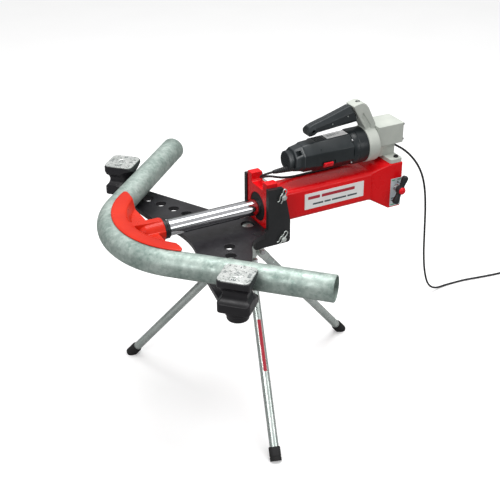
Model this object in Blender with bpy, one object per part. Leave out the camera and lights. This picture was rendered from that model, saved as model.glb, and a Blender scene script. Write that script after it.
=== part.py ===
"""Electro-hydraulic conduit and pipe bender on a folding tripod, with a bent pipe in it.

Machine frame: the ram's axis is the X axis, the bend's centre is the origin, +X runs back along
the cylinder and +Z is up. An empty carries that frame to the model's own origin, on the floor
under the middle of the object. Every length is in metres and every angle in degrees.
"""
import math

import bmesh
import bpy
from mathutils import Matrix, Vector

# ---- fits ---------------------------------------------------------------------------------
GAP = 0.0003            # between pieces that touch
RUN = 0.0003            # radial running clearance of pins and shafts

# ---- pipe (the workpiece) -------------------------------------------------------------------
PIPE_OD = 0.0603
PIPE_WALL = 0.0036
BEND_RADIUS = 0.220
BEND_ANGLE = 90.0
PIPE_LEG = 0.375
PIPE_SIDES = 20
BEND_STEPS = 18

# ---- former ---------------------------------------------------------------------------------
FORMER_LIP = 0.004          # how far the former's edge stands inside the bend's centreline
FORMER_LIP_RADIUS = BEND_RADIUS - FORMER_LIP
FORMER_HEIGHT = 0.068
FORMER_CHORD_X = -0.126
FORMER_RIM = 0.040
FORMER_POCKET_RADIUS = FORMER_LIP_RADIUS - FORMER_RIM
FORMER_WEB = 0.020
FORMER_RIB = 0.026
GROOVE_CLEARANCE = 0.0004

# ---- ram and cylinder -------------------------------------------------------------------------
RAM_RADIUS = 0.020
RAM_SPIGOT_RADIUS = 0.013
RAM_SPIGOT = 0.020
RAM_TIP_X = FORMER_CHORD_X + RAM_SPIGOT
COLLAR_WALL = 0.0045
COLLAR_RADIUS = RAM_RADIUS + COLLAR_WALL
COLLAR_LENGTH = 0.014
FORMER_BOSS_RADIUS = COLLAR_RADIUS + 0.0025
TUBE_SIDE = 0.080
TUBE_CORNER = 0.011
NECK_SIDE = 0.073
NECK_END_X = 0.200
BORE_RADIUS = 0.031
PISTON_X = 0.227
PISTON_LENGTH = 0.030
RAM_TRAVEL = 0.180
FLANGE_X = 0.146
FLANGE_THICKNESS = 0.029
FLANGE_TOP = 0.077
FLANGE_BOTTOM = -0.082
FLANGE_SLOT = 0.056
FLANGE_SLOT_BOTTOM = 0.0545
GLAND_WALL = 0.0135
GLAND_RADIUS = RAM_RADIUS + GLAND_WALL
TUBE_END_X = 0.452
BLOCK_X = 0.492
BLOCK_LENGTH = 0.036
BLOCK_SIDE = 0.122

# ---- bending frame -------------------------------------------------------------------------------
PLATE_TOP = -0.042
PLATE_THICKNESS = 0.012
FRONT_ARC_RADIUS = 0.238
FRONT_ARC_X = -0.041
FRONT_ARC_HALF = 0.115
WING_TIP_RADIUS = 0.030
HOLE_RADIUS = 0.013
HOLE_STEPS = 6
FIRST_HOLE = (0.029, 0.082)
EAR_INSIDE = 0.050
EAR_THICKNESS = 0.012
EAR_FRONT_X = 0.108
CROSS_PIN_RADIUS = 0.007
UPPER_PIN_Z = 0.044
LOWER_PIN_Z = -0.068
TRIPOD_HOLE_X = 0.120
TRIPOD_HOLE_RADIUS = 0.0165

# ---- supports ------------------------------------------------------------------------------------
SUPPORT_ALONG = 0.1775
SUPPORT_SIDE = 0.074
SUPPORT_TOP = 0.035
SUPPORT_BOTTOM = -0.0415
SIZE_PLATE = 0.0031
SUPPORT_PIN_FIT = 0.0008        # radial play of a support's pin in the plate's holes
SUPPORT_PIN_RADIUS = HOLE_RADIUS - SUPPORT_PIN_FIT
SUPPORT_OFFSET = 0.0318          # from the pin's axis to the pipe's surface
SIDE_GROOVES = (0.0242, 0.0212, 0.0169)

# ---- tripod ---------------------------------------------------------------------------------------
AXIS_HEIGHT = 0.498
COLUMN_RADIUS = 0.021
COLUMN_BOTTOM = -0.150
LEG_AZIMUTHS = (-107.0, 13.0, 133.0)
HINGE_OUT = 0.036
HINGE_Z = -0.128
FOOT_OUT = 0.341
LEG_RADIUS = 0.011
LEG_WALL = 0.0015
LUG_THICKNESS = 0.008
FORK_WIDTH = 0.022
FORK_HEIGHT = 0.020
FORK_LENGTH = 0.046
LEG_BOLT_RADIUS = 0.004
CAP_WALL = 0.003
CAP_RADIUS = LEG_RADIUS + CAP_WALL
CAP_LENGTH = 0.034

# ---- motor, pump and handle -------------------------------------------------------------------------
MOTOR_Z = 0.105
MOTOR_RING_X = (0.395, 0.437)
MOTOR_RING_RADIUS = 0.0455
MOTOR_BODY_X = (0.262, 0.3947)
MOTOR_BODY_RADII = (0.036, 0.0415)
MOTOR_BORE = 0.031
STATOR_X = (0.300, 0.360)
ROTOR_RADIUS = 0.018
SHAFT_RADIUS = 0.004
REAR_COVER_X = 0.222
STRAIN_LENGTH = 0.057
STRAIN_RADIUS = 0.0088
PUMP_COLLAR_X = (0.4373, 0.4687)
PUMP_COLLAR_RADIUS = MOTOR_RING_RADIUS + 0.001
PUMP_BOX_X = (0.469, 0.545)
PUMP_BOX_Y = (-0.034, 0.036)
PUMP_BOX_Z = (0.101, 0.154)
PUMP_FLANGE = 0.010
HANDLE_HALF = 0.017
YOKE_HALF = 0.018

# ---- release valve ------------------------------------------------------------------------------------
VALVE_X = 0.512
VALVE_Z = -0.006
VALVE_REACH = 0.038

# ---- mains lead ------------------------------------------------------------------------------------------
CORD_RADIUS = 0.0029
COIL_CENTRE = (1.155, 0.150)
COIL_MEAN_RADIUS = 0.032
COIL_HALF_WIDTH = 3            # in cord radii

REAR_END_X = PUMP_BOX_X[1]
FRONT_END_X = -(BEND_RADIUS + PIPE_OD / 2)
FLOOR_Z = -AXIS_HEIGHT
HALF_BEND = math.radians(BEND_ANGLE / 2)


# ======================================================================================================
# Helpers
# ======================================================================================================
def material(name, colour, roughness, metallic):
    mat = bpy.data.materials.new(name)
    mat.use_nodes = True
    shader = mat.node_tree.nodes["Principled BSDF"]
    shader.inputs["Base Color"].default_value = (*colour, 1.0)
    shader.inputs["Roughness"].default_value = roughness
    shader.inputs["Metallic"].default_value = metallic
    mat.diffuse_color = (*colour, 1.0)
    return mat


def empty(name, at=(0, 0, 0), turn=0.0, parent=None):
    item = bpy.data.objects.new(name, None)
    item.empty_display_size = 0.03
    item.location = at
    item.rotation_euler = (0, 0, math.radians(turn))
    item.parent = parent
    bpy.context.collection.objects.link(item)
    return item


def place(name, bm, finish, at=(0, 0, 0), parent=None, cutter=False, sharp=35.0):
    """Turns a bmesh into an object under the machine's empty, or under its own joint's empty."""
    bmesh.ops.recalc_face_normals(bm, faces=bm.faces)
    mesh = bpy.data.meshes.new(name)
    bm.to_mesh(mesh)
    bm.free()
    mesh.shade_smooth()
    mesh.set_sharp_from_angle(angle=math.radians(sharp))
    item = bpy.data.objects.new(name, mesh)
    item.location = at
    item.parent = parent or MACHINE
    bpy.context.collection.objects.link(item)
    if cutter:
        item.hide_render = True
        item.display_type = "WIRE"
    else:
        mesh.materials.append(finish)
    return item


def boolean(item, tool, operation="DIFFERENCE"):
    modifier = item.modifiers.new(tool.name, "BOOLEAN")
    modifier.object = tool
    modifier.operation = operation
    modifier.solver = "EXACT"


def axis_matrix(axis):
    """Maps the local Z axis, along which shapes are built, onto a direction."""
    return Vector((0, 0, 1)).rotation_difference(Vector(axis)).to_matrix().to_4x4()


def turned(profile, axis=(1, 0, 0), centre=(0, 0, 0), sides=24, closed=False, phase=0.0, bm=None):
    """A solid of revolution: profile holds (distance along the axis, radius) pairs."""
    bm = bm or bmesh.new()
    frame = Matrix.Translation(centre) @ axis_matrix(axis)
    rings = []
    for along, radius in profile:
        if radius < 1e-7:
            rings.append([bm.verts.new(frame @ Vector((0, 0, along)))])
            continue
        angles = [2 * math.pi * k / sides + phase for k in range(sides)]
        spots = [(radius * math.cos(a), radius * math.sin(a), along) for a in angles]
        rings.append([bm.verts.new(frame @ Vector(spot)) for spot in spots])
    pairs = list(zip(rings, rings[1:] + rings[:1]))
    for first, second in (pairs if closed else pairs[:-1]):
        skin(bm, first, second)
    return bm


def skin(bm, first, second):
    """Joins two rings of vertices, either of which may be a single point."""
    count = max(len(first), len(second))
    for k in range(count):
        corners = []
        for ring, order in ((first, (k, k + 1)), (second, (k + 1, k))):
            for index in order:
                vert = ring[index % len(ring)]
                if vert not in corners:
                    corners.append(vert)
        if len(corners) > 2:
            bm.faces.new(corners)


def ring(inner, outer, start, end, axis=(1, 0, 0), centre=(0, 0, 0), sides=24, bm=None):
    profile = [(start, inner), (start, outer), (end, outer), (end, inner)]
    return turned(profile, axis, centre, sides, closed=True, bm=bm)


def prism(outline, low, high, plane="XY", bm=None):
    """Extrudes an outline; plane XY extrudes along Z, XZ along Y and YZ along X."""
    bm = bm or bmesh.new()

    def spot(u, v, w):
        return {"XY": (u, v, w), "XZ": (u, w, v), "YZ": (w, u, v)}[plane]

    lower = [bm.verts.new(spot(u, v, low)) for u, v in outline]
    upper = [bm.verts.new(spot(u, v, high)) for u, v in outline]
    bm.faces.new(lower)
    bm.faces.new(upper)
    for k, vert in enumerate(lower):
        following = (k + 1) % len(lower)
        bm.faces.new((vert, lower[following], upper[following], upper[k]))
    return bm


def box(low, high, bm=None):
    outline = [(low[0], low[1]), (high[0], low[1]), (high[0], high[1]), (low[0], high[1])]
    return prism(outline, low[2], high[2], bm=bm)


def arc(centre, radius, start, end, steps):
    """Points of an arc, in degrees, both ends included."""
    angles = [math.radians(start + (end - start) * k / steps) for k in range(steps + 1)]
    return [(centre[0] + radius * math.cos(a), centre[1] + radius * math.sin(a)) for a in angles]


def rounded_square(side, corner, steps=3):
    reach = side / 2 - corner
    points = []
    for quarter, (sx, sy) in enumerate(((1, 1), (-1, 1), (-1, -1), (1, -1))):
        points += arc((sx * reach, sy * reach), corner, 90 * quarter, 90 * quarter + 90, steps)
    return points


def polar(radius, degrees):
    return radius * math.cos(math.radians(degrees)), radius * math.sin(math.radians(degrees))


def wire(name, points, radius, finish, parent=None, resolution=1):
    """A bent wire or cable: a curve of straight pieces with a round section and closed ends."""
    curve = bpy.data.curves.new(name, "CURVE")
    curve.dimensions = "3D"
    curve.bevel_depth = radius
    curve.bevel_resolution = resolution
    curve.use_fill_caps = True
    spline = curve.splines.new("POLY")
    spline.points.add(len(points) - 1)
    for point, spot in zip(spline.points, points):
        point.co = (*spot, 1.0)
    curve.materials.append(finish)
    item = bpy.data.objects.new(name, curve)
    item.parent = parent or MACHINE
    bpy.context.collection.objects.link(item)
    return item


def smooth_path(points, spacing):
    """Reads a smooth Catmull-Rom curve through the points, at about even spacing."""
    knots = [Vector(p) for p in points]
    knots = [2 * knots[0] - knots[1]] + knots + [2 * knots[-1] - knots[-2]]
    fine = []
    for a, b, c, d in zip(knots, knots[1:], knots[2:], knots[3:]):
        for k in range(24):
            t = k / 24
            fine.append(0.5 * (2 * b + (c - a) * t + (2 * a - 5 * b + 4 * c - d) * t * t
                               + (3 * b - a - 3 * c + d) * t ** 3))
    fine.append(knots[-2])
    lengths = [0.0]
    for first, second in zip(fine, fine[1:]):
        lengths.append(lengths[-1] + (second - first).length)
    count = max(2, round(lengths[-1] / spacing))
    spots = []
    index = 0
    for k in range(count + 1):
        target = lengths[-1] * k / count
        while index < len(fine) - 2 and lengths[index + 1] < target:
            index += 1
        share = (target - lengths[index]) / max(1e-9, lengths[index + 1] - lengths[index])
        spots.append(fine[index].lerp(fine[index + 1], min(1.0, share)))
    return spots


# ======================================================================================================
# Workpiece, former and ram
# ======================================================================================================
def bend_stations(radius, half_angle, steps, leg):
    """Centreline stations (x, y, heading) of an arc about the origin with a straight leg each end."""
    stations = []
    for k in range(steps + 1):
        angle = math.pi - half_angle + 2 * half_angle * k / steps
        stations.append((radius * math.cos(angle), radius * math.sin(angle), angle))
    if leg:
        for index, sign in ((0, 1), (-1, -1)):
            x, y, angle = stations[index]
            x += sign * leg * math.sin(angle)
            y -= sign * leg * math.cos(angle)
            stations.insert(0 if index == 0 else len(stations), (x, y, angle))
    return stations


def section_ring(bm, station, radius, sides):
    x, y, angle = station
    spots = []
    for k in range(sides):
        turn = 2 * math.pi * k / sides
        out = radius * math.cos(turn)
        spots.append((x + out * math.cos(angle), y + out * math.sin(angle), radius * math.sin(turn)))
    return [bm.verts.new(spot) for spot in spots]


def pipe_body(radius, wall, half_angle, steps, leg):
    """A bent round bar, or a bent tube with open ends when wall is given."""
    bm = bmesh.new()
    stations = bend_stations(BEND_RADIUS, half_angle, steps, leg)
    outer = [section_ring(bm, s, radius, PIPE_SIDES) for s in stations]
    for first, second in zip(outer, outer[1:]):
        skin(bm, first, second)
    if wall:
        inner = [section_ring(bm, s, radius - wall, PIPE_SIDES) for s in stations]
        for first, second in zip(inner, inner[1:]):
            skin(bm, first, second)
        skin(bm, outer[0], inner[0])
        skin(bm, outer[-1], inner[-1])
    else:
        bm.faces.new(outer[0])
        bm.faces.new(outer[-1])
    return bm


def build_workpiece():
    place("pipe", pipe_body(PIPE_OD / 2, PIPE_WALL, HALF_BEND, BEND_STEPS, PIPE_LEG), ZINC)


def build_former():
    reach = math.degrees(math.acos(-FORMER_CHORD_X / FORMER_LIP_RADIUS))
    outline = arc((0, 0), FORMER_LIP_RADIUS, 180 - reach, 180 + reach, 26)
    half = FORMER_HEIGHT / 2
    former = place("bending_former", prism(outline, -half, half), RED)

    pockets = bmesh.new()
    for side in (1, -1):
        start = math.degrees(math.asin(FORMER_RIB / 2 / FORMER_POCKET_RADIUS))
        end = math.degrees(math.acos(-(FORMER_CHORD_X + 0.01) / FORMER_POCKET_RADIUS))
        edge = arc((0, 0), FORMER_POCKET_RADIUS, 180 - side * start, 180 - side * end, 10)
        edge.append((FORMER_CHORD_X + 0.01, side * FORMER_RIB / 2))
        prism(edge, FORMER_WEB / 2, half + 0.01, bm=pockets)
        prism(edge, -half - 0.01, -FORMER_WEB / 2, bm=pockets)
    boolean(former, place("former_pockets", pockets, None, cutter=True))

    boss = turned([(-0.165, 0), (-0.165, FORMER_BOSS_RADIUS), (RAM_TIP_X - GAP, FORMER_BOSS_RADIUS),
                   (RAM_TIP_X - GAP, 0)], sides=20)
    boolean(former, place("former_boss", boss, None, cutter=True), "UNION")

    socket = turned([(RAM_TIP_X - RAM_SPIGOT - 0.001, 0),
                     (RAM_TIP_X - RAM_SPIGOT - 0.001, RAM_SPIGOT_RADIUS + GAP),
                     (RAM_TIP_X + 0.01, RAM_SPIGOT_RADIUS + GAP), (RAM_TIP_X + 0.01, 0)], sides=16)
    boolean(former, place("former_socket", socket, None, cutter=True))

    # the groove follows the pipe's own facets round the bend, and runs on past its tangent points
    extra = math.radians(10.0)
    step = 2 * HALF_BEND / BEND_STEPS
    more = math.ceil(extra / step)
    groove = pipe_body(PIPE_OD / 2 + GROOVE_CLEARANCE, 0, HALF_BEND + more * step,
                       BEND_STEPS + 2 * more, 0.05)
    boolean(former, place("former_groove", groove, None, cutter=True))


def build_ram():
    piston_end = PISTON_X + PISTON_LENGTH
    ram = [(RAM_TIP_X - RAM_SPIGOT, 0), (RAM_TIP_X - RAM_SPIGOT, RAM_SPIGOT_RADIUS),
           (RAM_TIP_X, RAM_SPIGOT_RADIUS), (RAM_TIP_X, RAM_RADIUS - 0.001),
           (RAM_TIP_X + 0.001, RAM_RADIUS), (PISTON_X - GAP, RAM_RADIUS),
           (PISTON_X - GAP, RAM_SPIGOT_RADIUS), (piston_end, RAM_SPIGOT_RADIUS), (piston_end, 0)]
    place("ram", turned(ram, sides=24), CHROME)

    collar = ring(RAM_RADIUS + GAP, COLLAR_RADIUS, RAM_TIP_X, RAM_TIP_X + COLLAR_LENGTH, sides=24)
    place("ram_collar", collar, BLACK_STEEL)

    radius = BORE_RADIUS - RUN
    place("piston", ring(RAM_SPIGOT_RADIUS + GAP, radius, PISTON_X, piston_end, sides=24), STEEL)


# ======================================================================================================
# Hydraulic cylinder
# ======================================================================================================
def build_cylinder():
    flange_back = FLANGE_X + FLANGE_THICKNESS
    width = EAR_INSIDE - 0.0005
    slot = FLANGE_SLOT / 2
    outline = [(-width, FLANGE_BOTTOM), (width, FLANGE_BOTTOM), (width, FLANGE_TOP),
               (slot, FLANGE_TOP), (slot, FLANGE_SLOT_BOTTOM), (-slot, FLANGE_SLOT_BOTTOM),
               (-slot, FLANGE_TOP), (-width, FLANGE_TOP)]
    flange = place("cylinder_flange", prism(outline, FLANGE_X, flange_back, "YZ"), RED)
    hole = turned([(FLANGE_X - 0.01, 0), (FLANGE_X - 0.01, GLAND_RADIUS + GAP),
                   (flange_back + 0.01, GLAND_RADIUS + GAP), (flange_back + 0.01, 0)])
    boolean(flange, place("gland_hole", hole, None, cutter=True))

    start = flange_back + GAP
    bm = bmesh.new()
    rings = []
    for x, side in ((start, NECK_SIDE), (NECK_END_X, NECK_SIDE), (NECK_END_X, TUBE_SIDE),
                    (TUBE_END_X, TUBE_SIDE)):
        rings.append([bm.verts.new((x, y, z)) for y, z in rounded_square(side, TUBE_CORNER)])
    for first, second in zip(rings, rings[1:]):
        skin(bm, first, second)
    bm.faces.new(rings[0])
    bm.faces.new(rings[-1])
    tube = place("cylinder_tube", bm, RED)
    bore = turned([(start - 0.01, 0), (start - 0.01, BORE_RADIUS), (TUBE_END_X + 0.01, BORE_RADIUS),
                   (TUBE_END_X + 0.01, 0)])
    boolean(tube, place("cylinder_bore", bore, None, cutter=True))
    pin_x = flange_back + GAP + CROSS_PIN_RADIUS
    relief = turned([(-0.06, 0), (-0.06, CROSS_PIN_RADIUS + 0.001), (0.06, CROSS_PIN_RADIUS + 0.001),
                     (0.06, 0)], axis=(0, 1, 0), centre=(pin_x, 0, UPPER_PIN_Z), sides=16)
    boolean(tube, place("pin_relief", relief, None, cutter=True))

    gland = ring(RAM_RADIUS + RUN, GLAND_RADIUS, FLANGE_X + 0.003, flange_back, sides=24)
    place("gland_bush", gland, BRONZE)

    # rear block: flares from the tube's square to its own larger square
    bm = bmesh.new()
    small = TUBE_SIDE / 2
    large = BLOCK_SIDE / 2
    levels = ((TUBE_END_X + GAP, small), (BLOCK_X, large), (BLOCK_X + BLOCK_LENGTH, large))
    rings = []
    for x, half in levels:
        corners = ((-half, -half), (half, -half), (half, half), (-half, half))
        rings.append([bm.verts.new((x, y, z)) for y, z in corners])
    for first, second in zip(rings, rings[1:]):
        skin(bm, first, second)
    bm.faces.new(rings[0])
    bm.faces.new(rings[-1])
    block = place("rear_block", bm, RED)
    port = turned([(-0.07, 0), (-0.07, 0.0073), (-0.03, 0.0073), (-0.03, 0)], axis=(0, 1, 0),
                  centre=(VALVE_X, 0, VALVE_Z), sides=12)
    boolean(block, place("valve_port", port, None, cutter=True))

    plate_low = (0.256, -small - GAP - 0.001, -0.019)
    plate_high = (0.427, -small - GAP, 0.023)
    place("tube_label", box(plate_low, plate_high), WHITE)


def build_release_valve():
    face = -BLOCK_SIDE / 2
    plate = place("valve_plate", box((0.4945, face - GAP - 0.001, -0.056),
                                     (0.5265, face - GAP, 0.020)), ALUMINIUM)
    hole = turned([(-0.07, 0), (-0.07, 0.0085), (-0.055, 0.0085), (-0.055, 0)], axis=(0, 1, 0),
                  centre=(VALVE_X, 0, VALVE_Z), sides=12)
    boolean(plate, place("valve_plate_hole", hole, None, cutter=True))

    joint = empty("valve_joint", (VALVE_X, face, VALVE_Z), parent=MACHINE)
    spindle = turned([(0.025, 0), (0.025, 0.007), (-0.010, 0.007), (-0.010, 0.0045),
                      (-0.026, 0.0045), (-0.026, 0)], axis=(0, 1, 0), sides=12)
    place("valve_spindle", spindle, STEEL, parent=joint)

    # the handle: a round hub with two lobes, in the plane that faces the operator
    tilt = 68.0
    hub = ring(0.0045 + GAP, 0.010, -0.026, -0.0115, axis=(0, 1, 0), sides=12)
    handle = place("valve_handle", hub, BLACK_PLASTIC, parent=joint)
    for index, turn in enumerate((tilt, tilt + 180)):
        ux, uz = polar(1, turn)
        lobe = turned([(0.007, 0), (0.007, 0.0065), (0.020, 0.0070), (0.029, 0.0085),
                       (VALVE_REACH - 0.002, 0.0080), (VALVE_REACH, 0.0050), (VALVE_REACH, 0)],
                      axis=(ux, 0, uz), centre=(0, -0.0187, 0), sides=10)
        tool = place(f"valve_lobe_{index}", lobe, None, parent=joint, cutter=True)
        boolean(handle, tool, "UNION")
    cap = turned([(-0.026 - GAP, 0), (-0.026 - GAP, 0.0085), (-0.030, 0.0080), (-0.0315, 0.005),
                  (-0.0315, 0)], axis=(0, 1, 0), sides=12)
    place("valve_cap", cap, RED, parent=joint)


# ======================================================================================================
# Bending frame
# ======================================================================================================
def support_spot():
    """The near support's pin: along the pipe's leg from its tangent point, then outwards."""
    tangent = Vector(polar(BEND_RADIUS, 180 - BEND_ANGLE / 2))
    along = Vector(polar(1, 90 - BEND_ANGLE / 2))
    outward = Vector(polar(1, 180 - BEND_ANGLE / 2))
    return tangent + SUPPORT_ALONG * along + (SUPPORT_OFFSET + PIPE_OD / 2) * outward


def plate_half_outline(pin):
    """The plate's outline from the middle of its front edge to the middle of its back edge."""
    centre_x = FRONT_ARC_X - FRONT_ARC_RADIUS
    sweep = math.degrees(math.asin(FRONT_ARC_HALF / FRONT_ARC_RADIUS))
    points = arc((centre_x, 0), FRONT_ARC_RADIUS, 0, sweep, 8)
    points += arc((pin.x, pin.y), WING_TIP_RADIUS, 188, 28, 8)
    outside = EAR_INSIDE + EAR_THICKNESS + GAP
    inside = EAR_INSIDE - GAP
    points += [(0.070, 0.120), (0.084, 0.092), (0.104, 0.076), (0.130, 0.0675), (0.130, outside),
               (EAR_FRONT_X - GAP, outside), (EAR_FRONT_X - GAP, inside),
               (FLANGE_X - 0.001, inside), (FLANGE_X - 0.001, 0)]
    return points


def build_frame():
    pin = support_spot()
    half = plate_half_outline(pin)
    outline = half[:-1] + [(x, -y) for x, y in reversed(half[:-1]) if y > 0]
    low = PLATE_TOP - PLATE_THICKNESS
    plate = place("frame_plate", prism(outline, low, PLATE_TOP), BLACK_STEEL)
    holes = bmesh.new()
    first = Vector(FIRST_HOLE)
    for side in (1, -1):
        for k in range(HOLE_STEPS + 1):
            spot = first.lerp(pin, k / HOLE_STEPS)
            turned([(low - 0.01, 0), (low - 0.01, HOLE_RADIUS), (PLATE_TOP + 0.01, HOLE_RADIUS),
                    (PLATE_TOP + 0.01, 0)], axis=(0, 0, 1), centre=(spot.x, side * spot.y, 0),
                   sides=20, bm=holes)
    turned([(low - 0.01, 0), (low - 0.01, TRIPOD_HOLE_RADIUS), (PLATE_TOP + 0.01, TRIPOD_HOLE_RADIUS),
            (PLATE_TOP + 0.01, 0)], axis=(0, 0, 1), centre=(TRIPOD_HOLE_X, 0, 0), sides=20, bm=holes)
    boolean(plate, place("plate_holes", holes, None, cutter=True))

    pin_x = FLANGE_X + FLANGE_THICKNESS + GAP + CROSS_PIN_RADIUS
    side_view = [(EAR_FRONT_X, FLANGE_BOTTOM), (0.197, FLANGE_BOTTOM), (0.204, -0.075),
                 (0.204, -0.025), (0.187, 0.065), (0.1435, 0.068), (0.1435, -0.034),
                 (0.138, PLATE_TOP), (EAR_FRONT_X, PLATE_TOP)]
    for name, side in (("ear_near", -1), ("ear_far", 1)):
        faces = sorted((side * EAR_INSIDE, side * (EAR_INSIDE + EAR_THICKNESS)))
        ear = place(name, prism(side_view, faces[0], faces[1], "XZ"), BLACK_STEEL)
        drill = bmesh.new()
        for z in (UPPER_PIN_Z, LOWER_PIN_Z):
            turned([(-0.02, 0), (-0.02, CROSS_PIN_RADIUS + RUN), (0.02, CROSS_PIN_RADIUS + RUN),
                    (0.02, 0)], axis=(0, 1, 0), centre=(pin_x, side * EAR_INSIDE, z), sides=16,
                   bm=drill)
        boolean(ear, place(name + "_holes", drill, None, cutter=True))

    outer = EAR_INSIDE + EAR_THICKNESS
    for name, z, clip_turn in (("upper", UPPER_PIN_Z, 62.0), ("lower", LOWER_PIN_Z, 48.0)):
        near_end = -outer - 0.011
        head = outer + GAP
        shape = [(near_end, 0), (near_end, CROSS_PIN_RADIUS - 0.001),
                 (near_end + 0.001, CROSS_PIN_RADIUS), (head, CROSS_PIN_RADIUS),
                 (head, 0.011), (head + 0.006, 0.011), (head + 0.006, 0)]
        cross = place(f"{name}_pin", turned(shape, axis=(0, 1, 0), sides=16), ZINC,
                      at=(pin_x, 0, z))
        clip_y = -outer - 0.0055
        ux, uz = polar(1, clip_turn)
        hole = turned([(-0.02, 0), (-0.02, 0.0019), (0.02, 0.0019), (0.02, 0)],
                      axis=(ux, 0, uz), centre=(0, clip_y, 0), sides=8)
        boolean(cross, place(f"{name}_pin_hole", hole, None, at=(pin_x, 0, z), cutter=True))
        build_clip(f"{name}_clip", (pin_x, clip_y, z), (ux, uz))


def build_clip(name, centre, direction):
    """A hairpin clip: a straight leg through the pin's cross hole and a wavy leg round its outside."""
    ux, uz = direction
    side = Vector((-uz, 0, ux))
    along = Vector((ux, 0, uz))
    middle = Vector(centre)
    legs = [(-0.016, 0.0), (0.0, 0.0), (0.014, 0.0), (0.018, 0.0012), (0.0205, 0.0050),
            (0.0190, 0.0090), (0.0150, 0.0102), (0.0110, 0.0088), (0.0075, 0.0090), (0.0, 0.0105),
            (-0.0075, 0.0090), (-0.0110, 0.0080), (-0.0150, 0.0110)]
    wire(name, [middle + along * a + side * b for a, b in legs], 0.0014, ZINC)


# ======================================================================================================
# Supports
# ======================================================================================================
def pipe_side_groove():
    """The groove that holds the pipe, turned about the pin so that the block can swivel."""
    bm = bmesh.new()
    distance = SUPPORT_OFFSET + PIPE_OD / 2
    radius = PIPE_OD / 2 + 0.0006
    start, steps = -100, 20
    rings = []
    for k in range(steps + 1):
        heading = math.radians(start + 10 * k)
        spots = []
        for n in range(PIPE_SIDES):
            turn = 2 * math.pi * n / PIPE_SIDES
            out = distance + radius / math.cos(math.pi / PIPE_SIDES) * math.cos(turn)
            rise = radius / math.cos(math.pi / PIPE_SIDES) * math.sin(turn)
            spots.append((out * math.cos(heading), out * math.sin(heading), rise))
        rings.append([bm.verts.new(spot) for spot in spots])
    for first, second in zip(rings, rings[1:]):
        skin(bm, first, second)
    bm.faces.new(rings[0])
    bm.faces.new(rings[-1])
    return bm


def build_support(side_name, side):
    pin = support_spot()
    toward_pipe = -45.0 if side > 0 else 45.0
    joint = empty(f"support_{side_name}_joint", (pin.x, side * pin.y, 0), toward_pipe, MACHINE)

    outline = rounded_square(SUPPORT_SIDE, 0.008, 2)
    block = place(f"support_{side_name}", prism(outline, SUPPORT_BOTTOM, SUPPORT_TOP), BLACK_STEEL,
                  parent=joint)
    boolean(block, place(f"support_{side_name}_groove", pipe_side_groove(), None, parent=joint,
                         cutter=True))
    sides = ((180, SIDE_GROOVES[0]), (90, SIDE_GROOVES[1]), (-90, SIDE_GROOVES[2]))
    for heading, radius in sides:
        x, y = polar(SUPPORT_SIDE / 2 + 0.5 * radius, heading)
        along = (0, 1, 0) if heading == 180 else (1, 0, 0)
        size = turned([(-0.06, 0), (-0.06, radius), (0.06, radius), (0.06, 0)], axis=along,
                      centre=(x, y, 0), sides=16)
        boolean(block, place(f"support_{side_name}_size_{heading}", size, None, parent=joint,
                             cutter=True))
    bore = turned([(SUPPORT_BOTTOM - 0.01, 0), (SUPPORT_BOTTOM - 0.01, SUPPORT_PIN_RADIUS + RUN),
                   (SUPPORT_TOP - 0.006, SUPPORT_PIN_RADIUS + RUN), (SUPPORT_TOP - 0.006, 0)],
                  axis=(0, 0, 1), sides=16)
    boolean(block, place(f"support_{side_name}_bore", bore, None, parent=joint, cutter=True))

    top = prism(rounded_square(SUPPORT_SIDE - 0.001, 0.010, 3), SUPPORT_TOP + GAP,
                SUPPORT_TOP + GAP + SIZE_PLATE)
    place(f"size_plate_{side_name}", top, ZINC, parent=joint)

    under = PLATE_TOP - PLATE_THICKNESS - GAP
    stud = [(SUPPORT_TOP - 0.0075, 0), (SUPPORT_TOP - 0.0075, SUPPORT_PIN_RADIUS),
            (under, SUPPORT_PIN_RADIUS), (under, 0.025), (under - 0.016, 0.024),
            (under - 0.018, 0.020), (under - 0.018, 0)]
    place(f"support_pin_{side_name}", turned(stud, axis=(0, 0, 1), sides=20), BLACK_STEEL,
          at=(pin.x, side * pin.y, 0))


# ======================================================================================================
# Tripod
# ======================================================================================================
def build_tripod():
    low = PLATE_TOP - PLATE_THICKNESS - GAP
    profile = [(PLATE_TOP - 0.005, 0), (PLATE_TOP - 0.005, TRIPOD_HOLE_RADIUS - 0.0015),
               (low, TRIPOD_HOLE_RADIUS - 0.0015), (low, COLUMN_RADIUS + 0.004),
               (low - 0.006, COLUMN_RADIUS + 0.004), (low - 0.006, COLUMN_RADIUS),
               (COLUMN_BOTTOM, COLUMN_RADIUS), (COLUMN_BOTTOM, 0)]
    column = place("tripod_column", turned(profile, axis=(0, 0, 1), sides=24), ZINC,
                   at=(TRIPOD_HOLE_X, 0, 0))
    drop = Vector((FOOT_OUT - HINGE_OUT, 0, FLOOR_Z + 0.004 - HINGE_Z))
    direction = drop.normalized()
    for index, azimuth in enumerate(LEG_AZIMUTHS, start=1):
        x, y = polar(HINGE_OUT, azimuth)
        joint = empty(f"leg_{index}_joint", (TRIPOD_HOLE_X + x, y, HINGE_Z), azimuth, MACHINE)
        lug = prism(arc((0, 0), 0.011, -90, 90, 8) + [(-0.020, 0.011), (-0.020, -0.011)],
                    -LUG_THICKNESS / 2, LUG_THICKNESS / 2, "XZ")
        boolean(column, place(f"lug_{index}", lug, None, parent=joint, cutter=True), "UNION")
        build_leg(index, joint, direction, drop.length)
    for index in range(1, len(LEG_AZIMUTHS) + 1):
        joint = bpy.data.objects[f"leg_{index}_joint"]
        drill = turned([(-0.02, 0), (-0.02, LEG_BOLT_RADIUS + RUN), (0.02, LEG_BOLT_RADIUS + RUN),
                        (0.02, 0)], axis=(0, 1, 0), sides=12)
        boolean(column, place(f"lug_{index}_hole", drill, None, parent=joint, cutter=True))


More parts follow.
